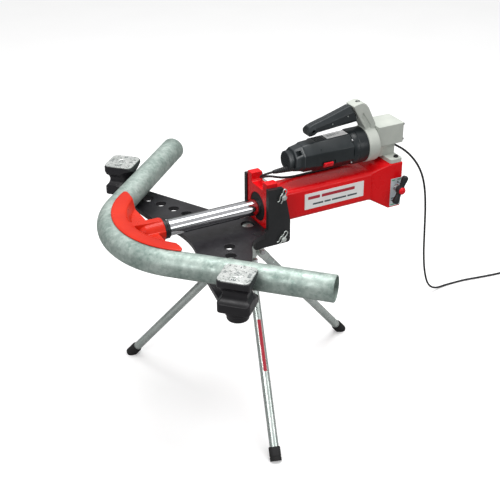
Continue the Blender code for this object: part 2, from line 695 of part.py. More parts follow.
def build_leg(index, joint, direction, length):
    """One leg in its joint's frame: X out from the column, Y along the bolt, origin on the bolt."""
    slope = math.atan2(-direction.z, direction.x)
    tilt = Matrix.Rotation(slope, 4, "Y")
    solid_start = 0.0135

    half = FORK_WIDTH / 2
    body = box((-0.009, -half, -FORK_HEIGHT / 2), (FORK_LENGTH - 0.012, half, FORK_HEIGHT / 2))
    bmesh.ops.transform(body, matrix=tilt, verts=body.verts)
    fork = place(f"leg_fork_{index}", body, ZINC, parent=joint)
    slot = box((-0.05, -LUG_THICKNESS / 2 - GAP, -0.05), (solid_start, LUG_THICKNESS / 2 + GAP, 0.05))
    bmesh.ops.transform(slot, matrix=tilt, verts=slot.verts)
    boolean(fork, place(f"leg_fork_{index}_slot", slot, None, parent=joint, cutter=True))
    drill = turned([(-0.02, 0), (-0.02, LEG_BOLT_RADIUS + RUN), (0.02, LEG_BOLT_RADIUS + RUN),
                    (0.02, 0)], axis=(0, 1, 0), sides=12)
    boolean(fork, place(f"leg_fork_{index}_hole", drill, None, parent=joint, cutter=True))

    start = FORK_LENGTH - 0.012 + GAP
    end = length - 0.010
    tube = ring(LEG_RADIUS - LEG_WALL, LEG_RADIUS, start, end, axis=direction, sides=20)
    place(f"leg_tube_{index}", tube, ZINC, parent=joint)

    inner = LEG_RADIUS + GAP
    cap = [(length + 0.006, 0), (length + 0.006, CAP_RADIUS), (length + 0.006 - CAP_LENGTH, CAP_RADIUS),
           (length + 0.006 - CAP_LENGTH, inner), (end + GAP, inner), (end + GAP, 0)]
    foot = place(f"foot_{index}", turned(cap, axis=direction, sides=20), RUBBER, parent=joint)
    level = FLOOR_Z - HINGE_Z
    floor = box((0.2, -0.05, level - 0.05), (0.5, 0.05, level))
    boolean(foot, place(f"foot_{index}_sole", floor, None, parent=joint, cutter=True))

    side = half + GAP
    bolt = [(-side - 0.006, 0), (-side - 0.006, 0.0072), (-side, 0.0072), (-side, LEG_BOLT_RADIUS),
            (side, LEG_BOLT_RADIUS), (side, 0.0072), (side + 0.006, 0.0072), (side + 0.006, 0)]
    place(f"leg_bolt_{index}", turned(bolt, axis=(0, 1, 0), sides=12), STEEL, parent=joint)


# ======================================================================================================
# Motor, pump and carrying handle
# ======================================================================================================
def build_motor():
    axis_at = (0, 0, MOTOR_Z)
    first, last = MOTOR_BODY_X
    slim, wide = MOTOR_BODY_RADII
    body = [(first, MOTOR_BORE), (first, slim), (first + 0.028, slim + 0.001),
            (first + 0.033, slim + 0.003), (last, wide), (last, MOTOR_BORE)]
    place("motor_housing", turned(body, sides=16, closed=True, phase=math.pi / 16), BLACK_PLASTIC,
          at=axis_at)
    rim_start, rim_end = MOTOR_RING_X
    web = (rim_start + 0.010, rim_start + 0.018)
    rim = [(rim_start, MOTOR_BORE), (rim_start, MOTOR_RING_RADIUS - 0.003),
           (rim_start + 0.006, MOTOR_RING_RADIUS), (rim_end, MOTOR_RING_RADIUS), (rim_end, MOTOR_BORE),
           (web[1], MOTOR_BORE), (web[1], SHAFT_RADIUS + RUN), (web[0], SHAFT_RADIUS + RUN),
           (web[0], MOTOR_BORE)]
    place("motor_ring", turned(rim, sides=28, closed=True), BLACK_PLASTIC, at=axis_at)
    cover = [(REAR_COVER_X, SHAFT_RADIUS + RUN), (REAR_COVER_X, 0.023), (REAR_COVER_X + 0.006, 0.026),
             (REAR_COVER_X + 0.012, 0.027), (first - GAP, 0.034), (first - GAP, 0.028),
             (REAR_COVER_X + 0.014, 0.022), (REAR_COVER_X + 0.014, SHAFT_RADIUS + RUN)]
    end = place("motor_rear_cover", turned(cover, sides=20, closed=True), BLACK_PLASTIC, at=axis_at)
    seat_x = STRAIN_TIP[0] + STRAIN_LENGTH + GAP
    seat = turned([(-0.05, 0), (-0.05, STRAIN_RADIUS + GAP), (seat_x - STRAIN_TIP[0],
                   STRAIN_RADIUS + GAP), (seat_x - STRAIN_TIP[0], 0)], centre=STRAIN_TIP, sides=16)
    boolean(end, place("strain_seat", seat, None, cutter=True))

    inside = MOTOR_BORE * math.cos(math.pi / 16) - GAP
    stator = ring(ROTOR_RADIUS + 0.0008, inside, *STATOR_X, sides=20)
    place("stator", stator, STEEL, at=axis_at)
    shaft_end = PUMP_BOX_X[0] + 0.020
    rotor = [(REAR_COVER_X + 0.007, 0), (REAR_COVER_X + 0.007, SHAFT_RADIUS),
             (0.262, SHAFT_RADIUS), (0.262, 0.012), (0.284, 0.012), (0.284, SHAFT_RADIUS + 0.002),
             (STATOR_X[0], SHAFT_RADIUS + 0.002), (STATOR_X[0], ROTOR_RADIUS),
             (STATOR_X[1], ROTOR_RADIUS), (STATOR_X[1], SHAFT_RADIUS), (shaft_end, SHAFT_RADIUS),
             (shaft_end, 0)]
    place("rotor", turned(rotor, sides=16), COPPER, at=axis_at)
    fan = bmesh.new()
    ring(SHAFT_RADIUS + GAP, 0.010, 0.372, 0.386, sides=12, bm=fan)
    fan_item = place("cooling_fan", fan, BLACK_PLASTIC, at=axis_at)
    blades = bmesh.new()
    for k in range(8):
        y, z = polar(1, 45 * k)
        along = Vector((0, y, z))
        across = Vector((0, -z, y)) * 0.0008
        corners = []
        for x in (0.373, 0.385):
            for reach, side in ((0.008, -1), (0.008, 1), (0.027, 1), (0.027, -1)):
                corners.append(blades.verts.new(Vector((x, 0, 0)) + along * reach + across * side))
        skin(blades, corners[:4], corners[4:])
        blades.faces.new(corners[:4])
        blades.faces.new(corners[4:])
    boolean(fan_item, place("fan_blades", blades, None, at=axis_at, cutter=True), "UNION")

    # slide switch on the flank that faces the operator
    facet = math.radians(-157.5)
    normal = Vector((0, math.cos(facet), math.sin(facet)))
    switch = box((-0.013, -0.0055, 0), (0.013, 0.0055, 0.0045))
    bmesh.ops.bevel(switch, geom=[e for e in switch.edges if e.verts[0].co.z > 0.002
                                  and e.verts[1].co.z > 0.002], offset=0.0012, segments=1,
                    affect="EDGES")
    switch_x = 0.322
    share = (switch_x - first) / (last - first)
    surface = (slim + 0.003 + (wide - slim - 0.003) * share) * math.cos(math.pi / 16) + 0.0008
    place_on = Matrix.Translation(Vector((0, 0, 0)) + normal * surface)
    turn = Matrix(((1, 0, 0), (0, -normal.z, normal.y), (0, normal.y, normal.z))).to_4x4()
    flip = Matrix.Diagonal((1, 1, 1, 1))
    bmesh.ops.transform(switch, matrix=place_on @ turn.transposed() @ flip, verts=switch.verts)
    place("slide_switch", switch, RED, at=(switch_x, 0, MOTOR_Z))

    sleeve = [(0, 0), (0, 0.0046), (0.75 * STRAIN_LENGTH, STRAIN_RADIUS - 0.0006),
              (STRAIN_LENGTH, STRAIN_RADIUS), (STRAIN_LENGTH, 0)]
    place("strain_relief", turned(sleeve, sides=16), RUBBER, at=STRAIN_TIP)


def build_pump():
    block_top = BLOCK_SIDE / 2
    floor = block_top + GAP
    reach = BLOCK_SIDE / 2 - 0.002
    base = place("pump_base", box((BLOCK_X, -reach, floor), (BLOCK_X + BLOCK_LENGTH, reach,
                                                             floor + PUMP_FLANGE)), CAST)
    neck = box((0.480, -0.022, floor + PUMP_FLANGE - 0.002), (0.530, 0.030, PUMP_BOX_Z[0] - GAP))
    boolean(base, place("pump_neck", neck, None, cutter=True), "UNION")
    shaft_x = PUMP_BOX_X[0] + 0.020
    well = turned([(floor + 0.004, 0), (floor + 0.004, 0.0063), (0.12, 0.0063), (0.12, 0)],
                  axis=(0, 0, 1), centre=(shaft_x, 0, 0), sides=12)
    tools = [place("plunger_well", well, None, cutter=True)]
    room = box((shaft_x - 0.030, -0.013, MOTOR_Z - 0.0112), (shaft_x + 0.004, 0.013, MOTOR_Z + 0.02))
    tools.append(place("cam_room", room, None, cutter=True))
    holes = bmesh.new()
    spots = [(BLOCK_X + 0.024, side * (reach - 0.013)) for side in (1, -1)]
    for x, y in spots:
        turned([(floor + PUMP_FLANGE - 0.006, 0), (floor + PUMP_FLANGE - 0.006, 0.0064),
                (floor + 0.05, 0.0064), (floor + 0.05, 0)], axis=(0, 0, 1), centre=(x, y, 0),
               sides=12, bm=holes)
    tools.append(place("base_screw_holes", holes, None, cutter=True))
    for tool in tools:
        boolean(base, tool)
    for index, (x, y) in enumerate(spots, start=1):
        level = floor + PUMP_FLANGE - 0.006 + GAP
        screw = [(level, 0), (level, 0.0060), (level + 0.009, 0.0060), (level + 0.010, 0.0052),
                 (level + 0.010, 0.0030), (level + 0.005, 0.0030), (level + 0.005, 0)]
        place(f"base_screw_{index}", turned(screw, axis=(0, 0, 1), sides=12), BLACK_STEEL,
              at=(x, y, 0))

    housing = place("pump_housing", box((PUMP_BOX_X[0], PUMP_BOX_Y[0], PUMP_BOX_Z[0]),
                                        (PUMP_BOX_X[1], PUMP_BOX_Y[1], PUMP_BOX_Z[1])), CAST)
    recess = box((PUMP_BOX_X[0] - 0.01, -0.024, PUMP_BOX_Z[0] - 0.01),
                 (PUMP_BOX_X[1] - 0.020, 0.024, PUMP_BOX_Z[1] - 0.010))
    boolean(housing, place("gear_chamber", recess, None, cutter=True))

    cam = ring(SHAFT_RADIUS + GAP, 0.0085, shaft_x - 0.012, shaft_x - 0.002, sides=12)
    for vert in cam.verts:
        distance = math.hypot(vert.co.y, vert.co.z)
        if distance > SHAFT_RADIUS + 0.001:
            vert.co.z += 0.002
    place("eccentric_cam", cam, STEEL, at=(0, 0, MOTOR_Z))
    plunger_top = MOTOR_Z - 0.0115
    place("pump_plunger", turned([(floor + 0.010, 0), (floor + 0.010, 0.006), (plunger_top, 0.006),
                                  (plunger_top, 0)], axis=(0, 0, 1), sides=12), STEEL,
          at=(shaft_x, 0, 0))


def build_handle():
    back = PUMP_COLLAR_X[1]
    bracket = [(0.4020, 0.2155), (0.4280, 0.2210), (0.4400, 0.2150), (0.4480, 0.2040),
               (back, 0.1600), (back, 0.1420), (0.4385, 0.1420), (0.4385, 0.1525),
               (0.4250, 0.1740)]
    arm = place("pump_collar", prism(bracket, -YOKE_HALF, YOKE_HALF, "XZ"), CAST)
    collar = ring(0.020, PUMP_COLLAR_RADIUS, *PUMP_COLLAR_X, centre=(0, 0, MOTOR_Z), sides=28)
    boolean(arm, place("collar_ring", collar, None, cutter=True), "UNION")
    mouth = turned([(0.42, 0), (0.42, 0.030), (0.48, 0.030), (0.48, 0)], centre=(0, 0, MOTOR_Z),
                   sides=28)
    boolean(arm, place("collar_bore", mouth, None, cutter=True))
    grip = [(0.2780, 0.1750), (0.2800, 0.1660), (0.2900, 0.1600), (0.3050, 0.1650), (0.4245, 0.1735),
            (0.4015, 0.2150), (0.3900, 0.2150), (0.2840, 0.1800)]
    for name, faces in (("handle_shell_near", (-HANDLE_HALF, -GAP / 2)),
                        ("handle_shell_far", (GAP / 2, HANDLE_HALF))):
        place(name, prism(grip, *faces, "XZ"), BLACK_PLASTIC)


STRAIN_TIP = (0.183, -0.012, 0.088)

# ======================================================================================================
# Mains lead
# ======================================================================================================
CORD_FLOOR = FLOOR_Z + CORD_RADIUS + 0.0002
COIL_NEAR = COIL_CENTRE[1] - COIL_MEAN_RADIUS - (COIL_HALF_WIDTH + 1) * CORD_RADIUS - GAP
CORD_ROUTE = (
    (0.1817, -0.0120, 0.0880), (0.1770, -0.0120, 0.0880), (0.1695, -0.0085, 0.0855), (0.1630, -0.0025, 0.0811),
    (0.1605, 0.0062, 0.0748), (0.1635, 0.0153, 0.0682), (0.1718, 0.0220, 0.0634),
    (0.1830, 0.0244, 0.0616), (0.1980, 0.0250, 0.0585), (0.2160, 0.0258, 0.0520),
    (0.2360, 0.0265, 0.0464), (0.2620, 0.0270, 0.0434), (0.3000, 0.0275, 0.0432),
    (0.3500, 0.0275, 0.0432), (0.3950, 0.0285, 0.0434), (0.4260, 0.0340, 0.0470),
    (0.4480, 0.0440, 0.0590), (0.4700, 0.0530, 0.0730), (0.4900, 0.0570, 0.0770),
    (0.5180, 0.0580, 0.0765), (0.5450, 0.0580, 0.0700), (0.5720, 0.0590, 0.0590),
    (0.5970, 0.0600, 0.0440), (0.6220, 0.0605, 0.0260), (0.6460, 0.0610, 0.0030),
    (0.6690, 0.0625, -0.0260), (0.6900, 0.0650, -0.0640), (0.7070, 0.0700, -0.1140),
    (0.7200, 0.0770, -0.1800), (0.7310, 0.0860, -0.2580), (0.7430, 0.0960, -0.3350),
    (0.7600, 0.1060, -0.4050), (0.7840, 0.1150, -0.4600), (0.8200, 0.1240, CORD_FLOOR + 0.0060),
    (0.8700, 0.1300, CORD_FLOOR), (0.9300, 0.1270, CORD_FLOOR), (0.9900, 0.1170, CORD_FLOOR),
    (1.0450, 0.1090, CORD_FLOOR), (1.1000, COIL_NEAR, CORD_FLOOR), (COIL_CENTRE[0], COIL_NEAR, CORD_FLOOR),
)


def build_cord():
    wire("mains_lead", smooth_path(CORD_ROUTE, 0.0190), CORD_RADIUS, RUBBER, resolution=2)
    x, y = COIL_CENTRE
    half = COIL_HALF_WIDTH * CORD_RADIUS
    low = FLOOR_Z + 0.0002
    place("lead_coil", ring(COIL_MEAN_RADIUS - half, COIL_MEAN_RADIUS + half, low, low + 2 * half,
                            axis=(0, 0, 1), sides=20), RUBBER, at=(x, y, 0))
    body = [(0, 0), (0, 0.0050), (0.010, 0.0056), (0.016, 0.0120), (0.034, 0.0180),
            (0.046, 0.0180), (0.046, 0)]
    spot = (x + 0.030, y - COIL_MEAN_RADIUS - 2 * CORD_RADIUS, FLOOR_Z + 0.0182)
    plug = place("mains_plug", turned(body, sides=16), RUBBER, at=spot)
    for index, side in enumerate((-0.0095, 0.0095)):
        prong = turned([(0.040, 0), (0.040, 0.0024), (0.065, 0.0024), (0.065, 0)],
                       centre=(0, side, 0), sides=10)
        boolean(plug, place(f"plug_prong_{index}", prong, None, at=spot, cutter=True), "UNION")


def main():
    build_workpiece()
    build_former()
    build_ram()
    build_cylinder()
    build_release_valve()
    build_frame()
    build_support("near", -1)
    build_support("far", 1)
    build_tripod()
    build_motor()
    build_pump()
    build_handle()
    build_cord()


for old in list(bpy.data.objects):
    bpy.data.objects.remove(old)

RED = material("red_paint", (0.75, 0.03, 0.03), 0.35, 0.0)
BLACK_STEEL = material("black_steel", (0.03, 0.03, 0.035), 0.45, 0.3)
ZINC = material("zinc_plate", (0.62, 0.66, 0.66), 0.35, 0.9)
CHROME = material("chrome", (0.80, 0.80, 0.82), 0.08, 1.0)
STEEL = material("steel", (0.55, 0.55, 0.56), 0.3, 1.0)
BRONZE = material("bronze", (0.55, 0.38, 0.16), 0.35, 1.0)
ALUMINIUM = material("aluminium", (0.70, 0.72, 0.73), 0.4, 0.9)
CAST = material("cast_grey", (0.62, 0.64, 0.61), 0.55, 0.2)
BLACK_PLASTIC = material("black_plastic", (0.03, 0.03, 0.033), 0.5, 0.0)
WHITE = material("white_label", (0.85, 0.85, 0.85), 0.5, 0.0)
RUBBER = material("rubber", (0.02, 0.02, 0.02), 0.7, 0.0)
COPPER = material("copper_windings", (0.65, 0.30, 0.15), 0.4, 0.8)

MACHINE = empty("machine", (-(FRONT_END_X + REAR_END_X) / 2, 0, AXIS_HEIGHT))
main()
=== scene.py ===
"""Looks of the conduit bender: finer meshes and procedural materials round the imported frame.

Shapes are in millimetres in the machine's own axes (origin at the bend's centre, +X along the
ram towards the pump, +Z up) and are turned into metres when a piece is made. The camera, the
floor and the lights are in metres.
"""
from math import acos, atan2, cos, degrees, pi, radians, sin, sqrt

import bmesh
import bpy
from mathutils import Matrix, Vector


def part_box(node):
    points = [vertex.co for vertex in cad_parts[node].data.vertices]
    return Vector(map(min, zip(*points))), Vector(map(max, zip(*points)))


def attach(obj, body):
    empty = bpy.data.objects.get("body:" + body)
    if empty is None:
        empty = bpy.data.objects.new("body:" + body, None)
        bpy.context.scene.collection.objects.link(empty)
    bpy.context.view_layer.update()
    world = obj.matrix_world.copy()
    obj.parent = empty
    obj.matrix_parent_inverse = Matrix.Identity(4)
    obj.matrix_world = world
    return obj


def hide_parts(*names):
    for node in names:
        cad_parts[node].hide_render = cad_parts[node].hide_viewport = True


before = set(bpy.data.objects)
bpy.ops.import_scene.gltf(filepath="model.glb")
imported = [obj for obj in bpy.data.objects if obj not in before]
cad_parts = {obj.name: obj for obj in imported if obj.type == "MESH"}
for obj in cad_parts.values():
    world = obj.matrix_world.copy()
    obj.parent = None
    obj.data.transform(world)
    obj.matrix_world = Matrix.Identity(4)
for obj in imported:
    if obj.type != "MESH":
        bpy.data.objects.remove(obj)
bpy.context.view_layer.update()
MM = 0.001
RAM_LOW, RAM_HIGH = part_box("ram")
RAM_TIP_TO_BEND = 0.126
ORIGIN = Vector((RAM_LOW[0] + RAM_TIP_TO_BEND, 0.0, (RAM_LOW[2] + RAM_HIGH[2]) / 2))
FLOOR = -ORIGIN.z / MM
X, Y, Z = (1, 0, 0), (0, 1, 0), (0, 0, 1)


# ---- Materials -------------------------------------------
def fill_ramp(item, stops):
    """Gives a colour ramp its stops: each a position and a colour, or a grey as one number."""
    elements = item.color_ramp.elements
    while len(elements) < len(stops):
        elements.new(0.5)
    for element, (position, value) in zip(elements, stops):
        colour = value if isinstance(value, tuple) else (value, value, value)
        element.position = position
        element.color = (*colour, 1.0)
    return item.outputs["Color"]


class Surface:
    """A Principled material with helpers for procedural colour, roughness and bump."""

    def __init__(self, name, roughness=0.5, metallic=0.0, **sockets):
        self.mat = bpy.data.materials.new(name)
        self.mat.use_nodes = True
        self.tree = self.mat.node_tree
        self.shader = self.tree.nodes["Principled BSDF"]
        self.shader.inputs["Roughness"].default_value = roughness
        self.shader.inputs["Metallic"].default_value = metallic
        for key, value in sockets.items():
            self.shader.inputs[key.replace("_", " ")].default_value = value
        self.coords = self.tree.nodes.new("ShaderNodeTexCoord").outputs["Object"]

    def node(self, kind, **inputs):
        item = self.tree.nodes.new(kind)
        for key, value in inputs.items():
            socket = item.inputs[key.replace("_", " ")]
            if isinstance(value, bpy.types.NodeSocket):
                self.tree.links.new(value, socket)
            else:
                socket.default_value = value
        return item

    def stretched(self, scale):
        item = self.node("ShaderNodeMapping", Vector=self.coords)
        item.inputs["Scale"].default_value = scale
        return item.outputs["Vector"]

    def noise(self, scale, detail=3.0, roughness=0.5, stretch=None):
        vector = self.stretched(stretch) if stretch else self.coords
        return self.node("ShaderNodeTexNoise", Vector=vector, Scale=scale, Detail=detail,
                         Roughness=roughness).outputs["Fac"]

    def cells(self, scale):
        item = self.node("ShaderNodeTexVoronoi", Vector=self.coords, Scale=scale)
        return self.node("ShaderNodeSeparateColor", Color=item.outputs["Color"]).outputs["Red"]

    def ramp(self, fac, stops):
        return fill_ramp(self.node("ShaderNodeValToRGB", Fac=fac), stops)

    def blend(self, fac, first, second, mode="MIX"):
        item = self.tree.nodes.new("ShaderNodeMix")
        item.data_type = "RGBA"
        item.blend_type = mode
        for key, value in ((0, fac), (6, first), (7, second)):
            if isinstance(value, bpy.types.NodeSocket):
                self.tree.links.new(value, item.inputs[key])
            elif key:
                item.inputs[key].default_value = (*value, 1.0)
            else:
                item.inputs[key].default_value = value
        return item.outputs[2]

    def colour(self, socket):
        self.tree.links.new(socket, self.shader.inputs["Base Color"])
        return self

    def rough(self, socket):
        self.tree.links.new(socket, self.shader.inputs["Roughness"])
        return self

    def tint(self, spread, dark, light, *noise):
        """Two colours in clouds; a smaller spread gives a harder edge between them."""
        return self.colour(self.ramp(self.noise(*noise), [(0.5 - spread, dark), (0.5 + spread, light)]))

    def vary(self, low, high, *noise):
        return self.rough(self.ramp(self.noise(*noise), [(0.3, low), (0.7, high)]))

    def bump(self, *layers):
        normal = None
        for height, strength, distance in layers:
            inputs = {"Height": height, "Strength": strength, "Distance": distance}
            item = self.node("ShaderNodeBump", **inputs)
            if normal:
                self.tree.links.new(normal, item.inputs["Normal"])
            normal = item.outputs["Normal"]
        self.tree.links.new(normal, self.shader.inputs["Normal"])
        return self


def enamel(name, dark, light, roughness):
    s = Surface(name, roughness, Specular_IOR_Level=0.22, Coat_Weight=0.06, Coat_Roughness=0.12)
    s.tint(0.20, dark, light, 9.0, 4.0)
    s.vary(roughness - 0.05, roughness + 0.08, 40.0, 5.0)
    return s.bump((s.noise(260.0, 2.0), 0.10, 0.0004), (s.noise(1500.0, 2.0), 0.05, 0.0001)).mat


def painted_casting(name, dark, light, roughness):
    s = Surface(name, roughness)
    s.tint(0.15, dark, light, 14.0, 4.0)
    s.vary(roughness - 0.08, roughness + 0.08, 500.0, 2.0)
    return s.bump((s.noise(420.0, 3.0, 0.6), 0.35, 0.0006), (s.noise(1400.0, 2.0), 0.2, 0.0002)).mat


def galvanised(name):
    s = Surface(name, 0.5, 0.55)
    spangle = s.ramp(s.cells(150.0), [(0.0, (0.25, 0.33, 0.30)), (1.0, (0.56, 0.65, 0.60))])
    clouds = s.ramp(s.noise(14.0, 6.0, 0.65), [(0.34, (0.22, 0.30, 0.27)), (0.5, (0.42, 0.50, 0.46)),
                                               (0.68, (0.62, 0.70, 0.655))])
    colour = s.blend(0.38, clouds, spangle)
    streaks = s.ramp(s.noise(75.0, 6.0, 0.75), [(0.52, (1.0, 1.0, 1.0)), (0.66, (0.62, 0.70, 0.67))])
    s.colour(s.blend(0.75, colour, streaks, "MULTIPLY"))
    s.rough(s.ramp(s.noise(70.0, 5.0), [(0.35, 0.42), (0.65, 0.62)]))
    return s.bump((s.noise(160.0, 5.0, 0.6), 0.35, 0.0007), (s.noise(900.0, 3.0), 0.2, 0.0002)).mat


def zinc(name, dark=(0.50, 0.555, 0.53), light=(0.72, 0.765, 0.735), streak=(1.0, 1.0, 1.0), rough=0.30,
         grain=0.12):
    s = Surface(name, rough, 0.85)
    s.tint(0.18, dark, light, 22.0, 5.0, 0.6, streak)
    s.vary(rough - 0.07, rough + 0.14, 90.0, 5.0, 0.6, streak)
    return s.bump((s.noise(300.0, 4.0, 0.6, streak), grain, 0.0003)).mat


def speckled_zinc(name):
    s = Surface(name, 0.34, 0.7)
    clouds = s.ramp(s.noise(28.0, 5.0, 0.6), [(0.35, (0.58, 0.61, 0.59)), (0.65, (0.86, 0.88, 0.86))])
    pits = s.ramp(s.noise(150.0, 4.0, 0.7), [(0.53, (1.0, 1.0, 1.0)), (0.62, (0.16, 0.19, 0.18))])
    s.colour(s.blend(0.85, clouds, pits, "MULTIPLY"))
    s.vary(0.26, 0.50, 150.0, 4.0)
    return s.bump((s.noise(190.0, 4.0, 0.7), 0.35, 0.0004)).mat


def chrome(name):
    s = Surface(name, 0.07, 1.0)
    s.tint(0.20, (0.50, 0.51, 0.53), (0.64, 0.64, 0.66), 30.0, 3.0, 0.5, (0.2, 1.0, 1.0))
    s.vary(0.05, 0.12, 500.0, 3.0, 0.5, (1.0, 0.03, 0.03))
    return s.bump((s.noise(900.0, 2.0, 0.5, (1.0, 0.02, 0.02)), 0.03, 0.0001)).mat


def black_paint(name, dark, light, roughness, grain=0.12):
    s = Surface(name, roughness, Specular_IOR_Level=0.38)
    s.tint(0.16, dark, light, 12.0, 5.0, 0.6)
    s.vary(roughness - 0.07, roughness + 0.10, 60.0, 5.0, 0.6)
    return s.bump((s.noise(650.0, 3.0, 0.6), grain, 0.0003)).mat


def turned_metal(name, colour, roughness, metallic=1.0):
    s = Surface(name, roughness, metallic)
    dark = tuple(c * 0.85 for c in colour)
    light = tuple(min(1.0, c * 1.15) for c in colour)
    s.tint(0.20, dark, light, 40.0, 3.0)
    s.vary(roughness - 0.06, roughness + 0.10, 200.0, 3.0)
    return s.bump((s.noise(800.0, 2.0), 0.08, 0.0002)).mat


def printed_film(name, base, roughness=0.32):
    s = Surface(name, roughness, Coat_Weight=0.3, Coat_Roughness=0.15)
    shade = tuple(c * 0.92 for c in base)
    s.tint(0.20, shade, base, 30.0, 3.0)
    s.vary(roughness - 0.05, roughness + 0.08, 120.0, 3.0)
    return s.bump((s.noise(900.0, 2.0), 0.04, 0.0001)).mat


RED = enamel("red_enamel", (0.70, 0.002, 0.006), (0.80, 0.006, 0.009), 0.28)
ORANGE = enamel("former_enamel", (0.56, 0.014, 0.004), (0.70, 0.030, 0.008), 0.30)
CAST = painted_casting("grey_casting", (0.47, 0.50, 0.455), (0.56, 0.585, 0.535), 0.55)
PIPE = galvanised("galvanised_pipe")
ZINC = zinc("zinc_plate")
LEG_ZINC = zinc("zinc_tube", (0.56, 0.63, 0.60), (0.74, 0.80, 0.77), rough=0.26, grain=0.03)
SIZE_ZINC = speckled_zinc("speckled_zinc")
CHROME = chrome("hard_chrome")
BLACK = black_paint("satin_black", (0.010, 0.009, 0.011), (0.020, 0.019, 0.023), 0.34)
EAR_BLACK = black_paint("ear_black", (0.009, 0.010, 0.011), (0.018, 0.019, 0.021), 0.38)
PLASTIC = black_paint("moulded_plastic", (0.010, 0.014, 0.016), (0.022, 0.028, 0.031), 0.33, 0.25)
SOFT_BLACK = black_paint("soft_plastic", (0.010, 0.010, 0.012), (0.022, 0.023, 0.026), 0.50, 0.2)
RUBBER = black_paint("black_rubber", (0.008, 0.008, 0.008), (0.020, 0.020, 0.021), 0.65, 0.3)
RED_PLASTIC = enamel("red_plastic", (0.72, 0.004, 0.012), (0.82, 0.010, 0.020), 0.34)
STEEL = turned_metal("machined_steel", (0.55, 0.55, 0.56), 0.30)
BRONZE = turned_metal("bearing_bronze", (0.56, 0.39, 0.17), 0.34)
COPPER = turned_metal("copper_winding", (0.66, 0.31, 0.16), 0.38)
WHITE_FILM = printed_film("white_film", (0.90, 0.90, 0.89))
FOIL = printed_film("foil", (0.62, 0.68, 0.72))
INK_RED = printed_film("ink_red", (0.45, 0.01, 0.03))
INK_GREY = printed_film("ink_grey", (0.05, 0.07, 0.08))
INK_GREEN = printed_film("ink_green", (0.10, 0.34, 0.20))


# ---- Shapes, in millimetres ------------------------------
def axis_matrix(axis):
    return Vector((0, 0, 1)).rotation_difference(Vector(axis)).to_matrix().to_4x4()


def skin(bm, first, second):
    for k in range(max(len(first), len(second))):
        corners = []
        for ring_, order in ((first, (k, k + 1)), (second, (k + 1, k))):
            for index in order:
                vert = ring_[index % len(ring_)]
                if vert not in corners:
                    corners.append(vert)
        if len(corners) > 2:
            bm.faces.new(corners)


def rev(profile, axis=X, centre=(0, 0, 0), sides=64, closed=False, bm=None):
    """A solid of revolution from (distance along the axis, radius) pairs."""
    bm = bm or bmesh.new()
    place = Matrix.Translation(centre) @ axis_matrix(axis)
    rings = []
    for along, radius in profile:
        if radius < 1e-6:
            rings.append([bm.verts.new(place @ Vector((0, 0, along)))])
            continue
        angles = [2 * pi * k / sides for k in range(sides)]
        rings.append([bm.verts.new(place @ Vector((radius * cos(a), radius * sin(a), along)))
                      for a in angles])
    following = rings[1:] + (rings[:1] if closed else [])
    for first, second in zip(rings, following):
        skin(bm, first, second)
    return bm


def ring(inner, outer, start, end, axis=X, centre=(0, 0, 0), sides=64):
    return rev([(start, inner), (start, outer), (end, outer), (end, inner)], axis, centre, sides, True)


def rod(radius, start, end, axis=X, centre=(0, 0, 0), sides=64, bm=None):
    return rev([(start, 0), (start, radius), (end, radius), (end, 0)], axis, centre, sides, bm=bm)


def move(bm, matrix):
    bmesh.ops.transform(bm, matrix=matrix, verts=bm.verts)


def prism(outline, low, high, plane="XY", bm=None):
    bm = bm or bmesh.new()

    def spot(u, v, w):
        return {"XY": (u, v, w), "XZ": (u, w, v), "YZ": (w, u, v)}[plane]

    lower = [bm.verts.new(spot(u, v, low)) for u, v in outline]
    upper = [bm.verts.new(spot(u, v, high)) for u, v in outline]
    bm.faces.new(lower)
    bm.faces.new(upper)
    for k, vert in enumerate(lower):
        after = (k + 1) % len(lower)
        bm.faces.new((vert, lower[after], upper[after], upper[k]))
    return bm


def slab(low, high, bm=None):
    outline = [(low[0], low[1]), (high[0], low[1]), (high[0], high[1]), (low[0], high[1])]
    return prism(outline, low[2], high[2], bm=bm)


def arc(centre, radius, start, end, steps):
    angles = [radians(start + (end - start) * k / steps) for k in range(steps + 1)]
    return [(centre[0] + radius * cos(a), centre[1] + radius * sin(a)) for a in angles]


def rounded(width, height, corner, steps=8, centre=(0, 0)):
    points = []
    for quarter, (sx, sy) in enumerate(((1, 1), (-1, 1), (-1, -1), (1, -1))):
        middle = (centre[0] + sx * (width / 2 - corner), centre[1] + sy * (height / 2 - corner))
        points += arc(middle, corner, 90 * quarter, 90 * quarter + 90, steps)
    return points


def loft(sections):
    """Joins closed sections of equal point counts and closes both ends."""
    bm = bmesh.new()
    rings = [[bm.verts.new(spot) for spot in section] for section in sections]
    for first, second in zip(rings, rings[1:]):
        skin(bm, first, second)
    bm.faces.new(rings[0])
    bm.faces.new(rings[-1])
    return bm


def tube(points, radius, sides=16):
    """A round tube through points, kept from twisting by carrying its side vector along."""
    spots = [Vector(p) for p in points]
    side = None
    sections = []
    for k, spot in enumerate(spots):
        heading = (spots[min(k + 1, len(spots) - 1)] - spots[max(k - 1, 0)]).normalized()
        if side is None:
            side = heading.orthogonal().normalized()
        side = (side - heading * side.dot(heading)).normalized()
        other = heading.cross(side)
        sections.append([spot + radius * (cos(a) * side + sin(a) * other)
                         for a in [2 * pi * n / sides for n in range(sides)]])
    return loft(sections)


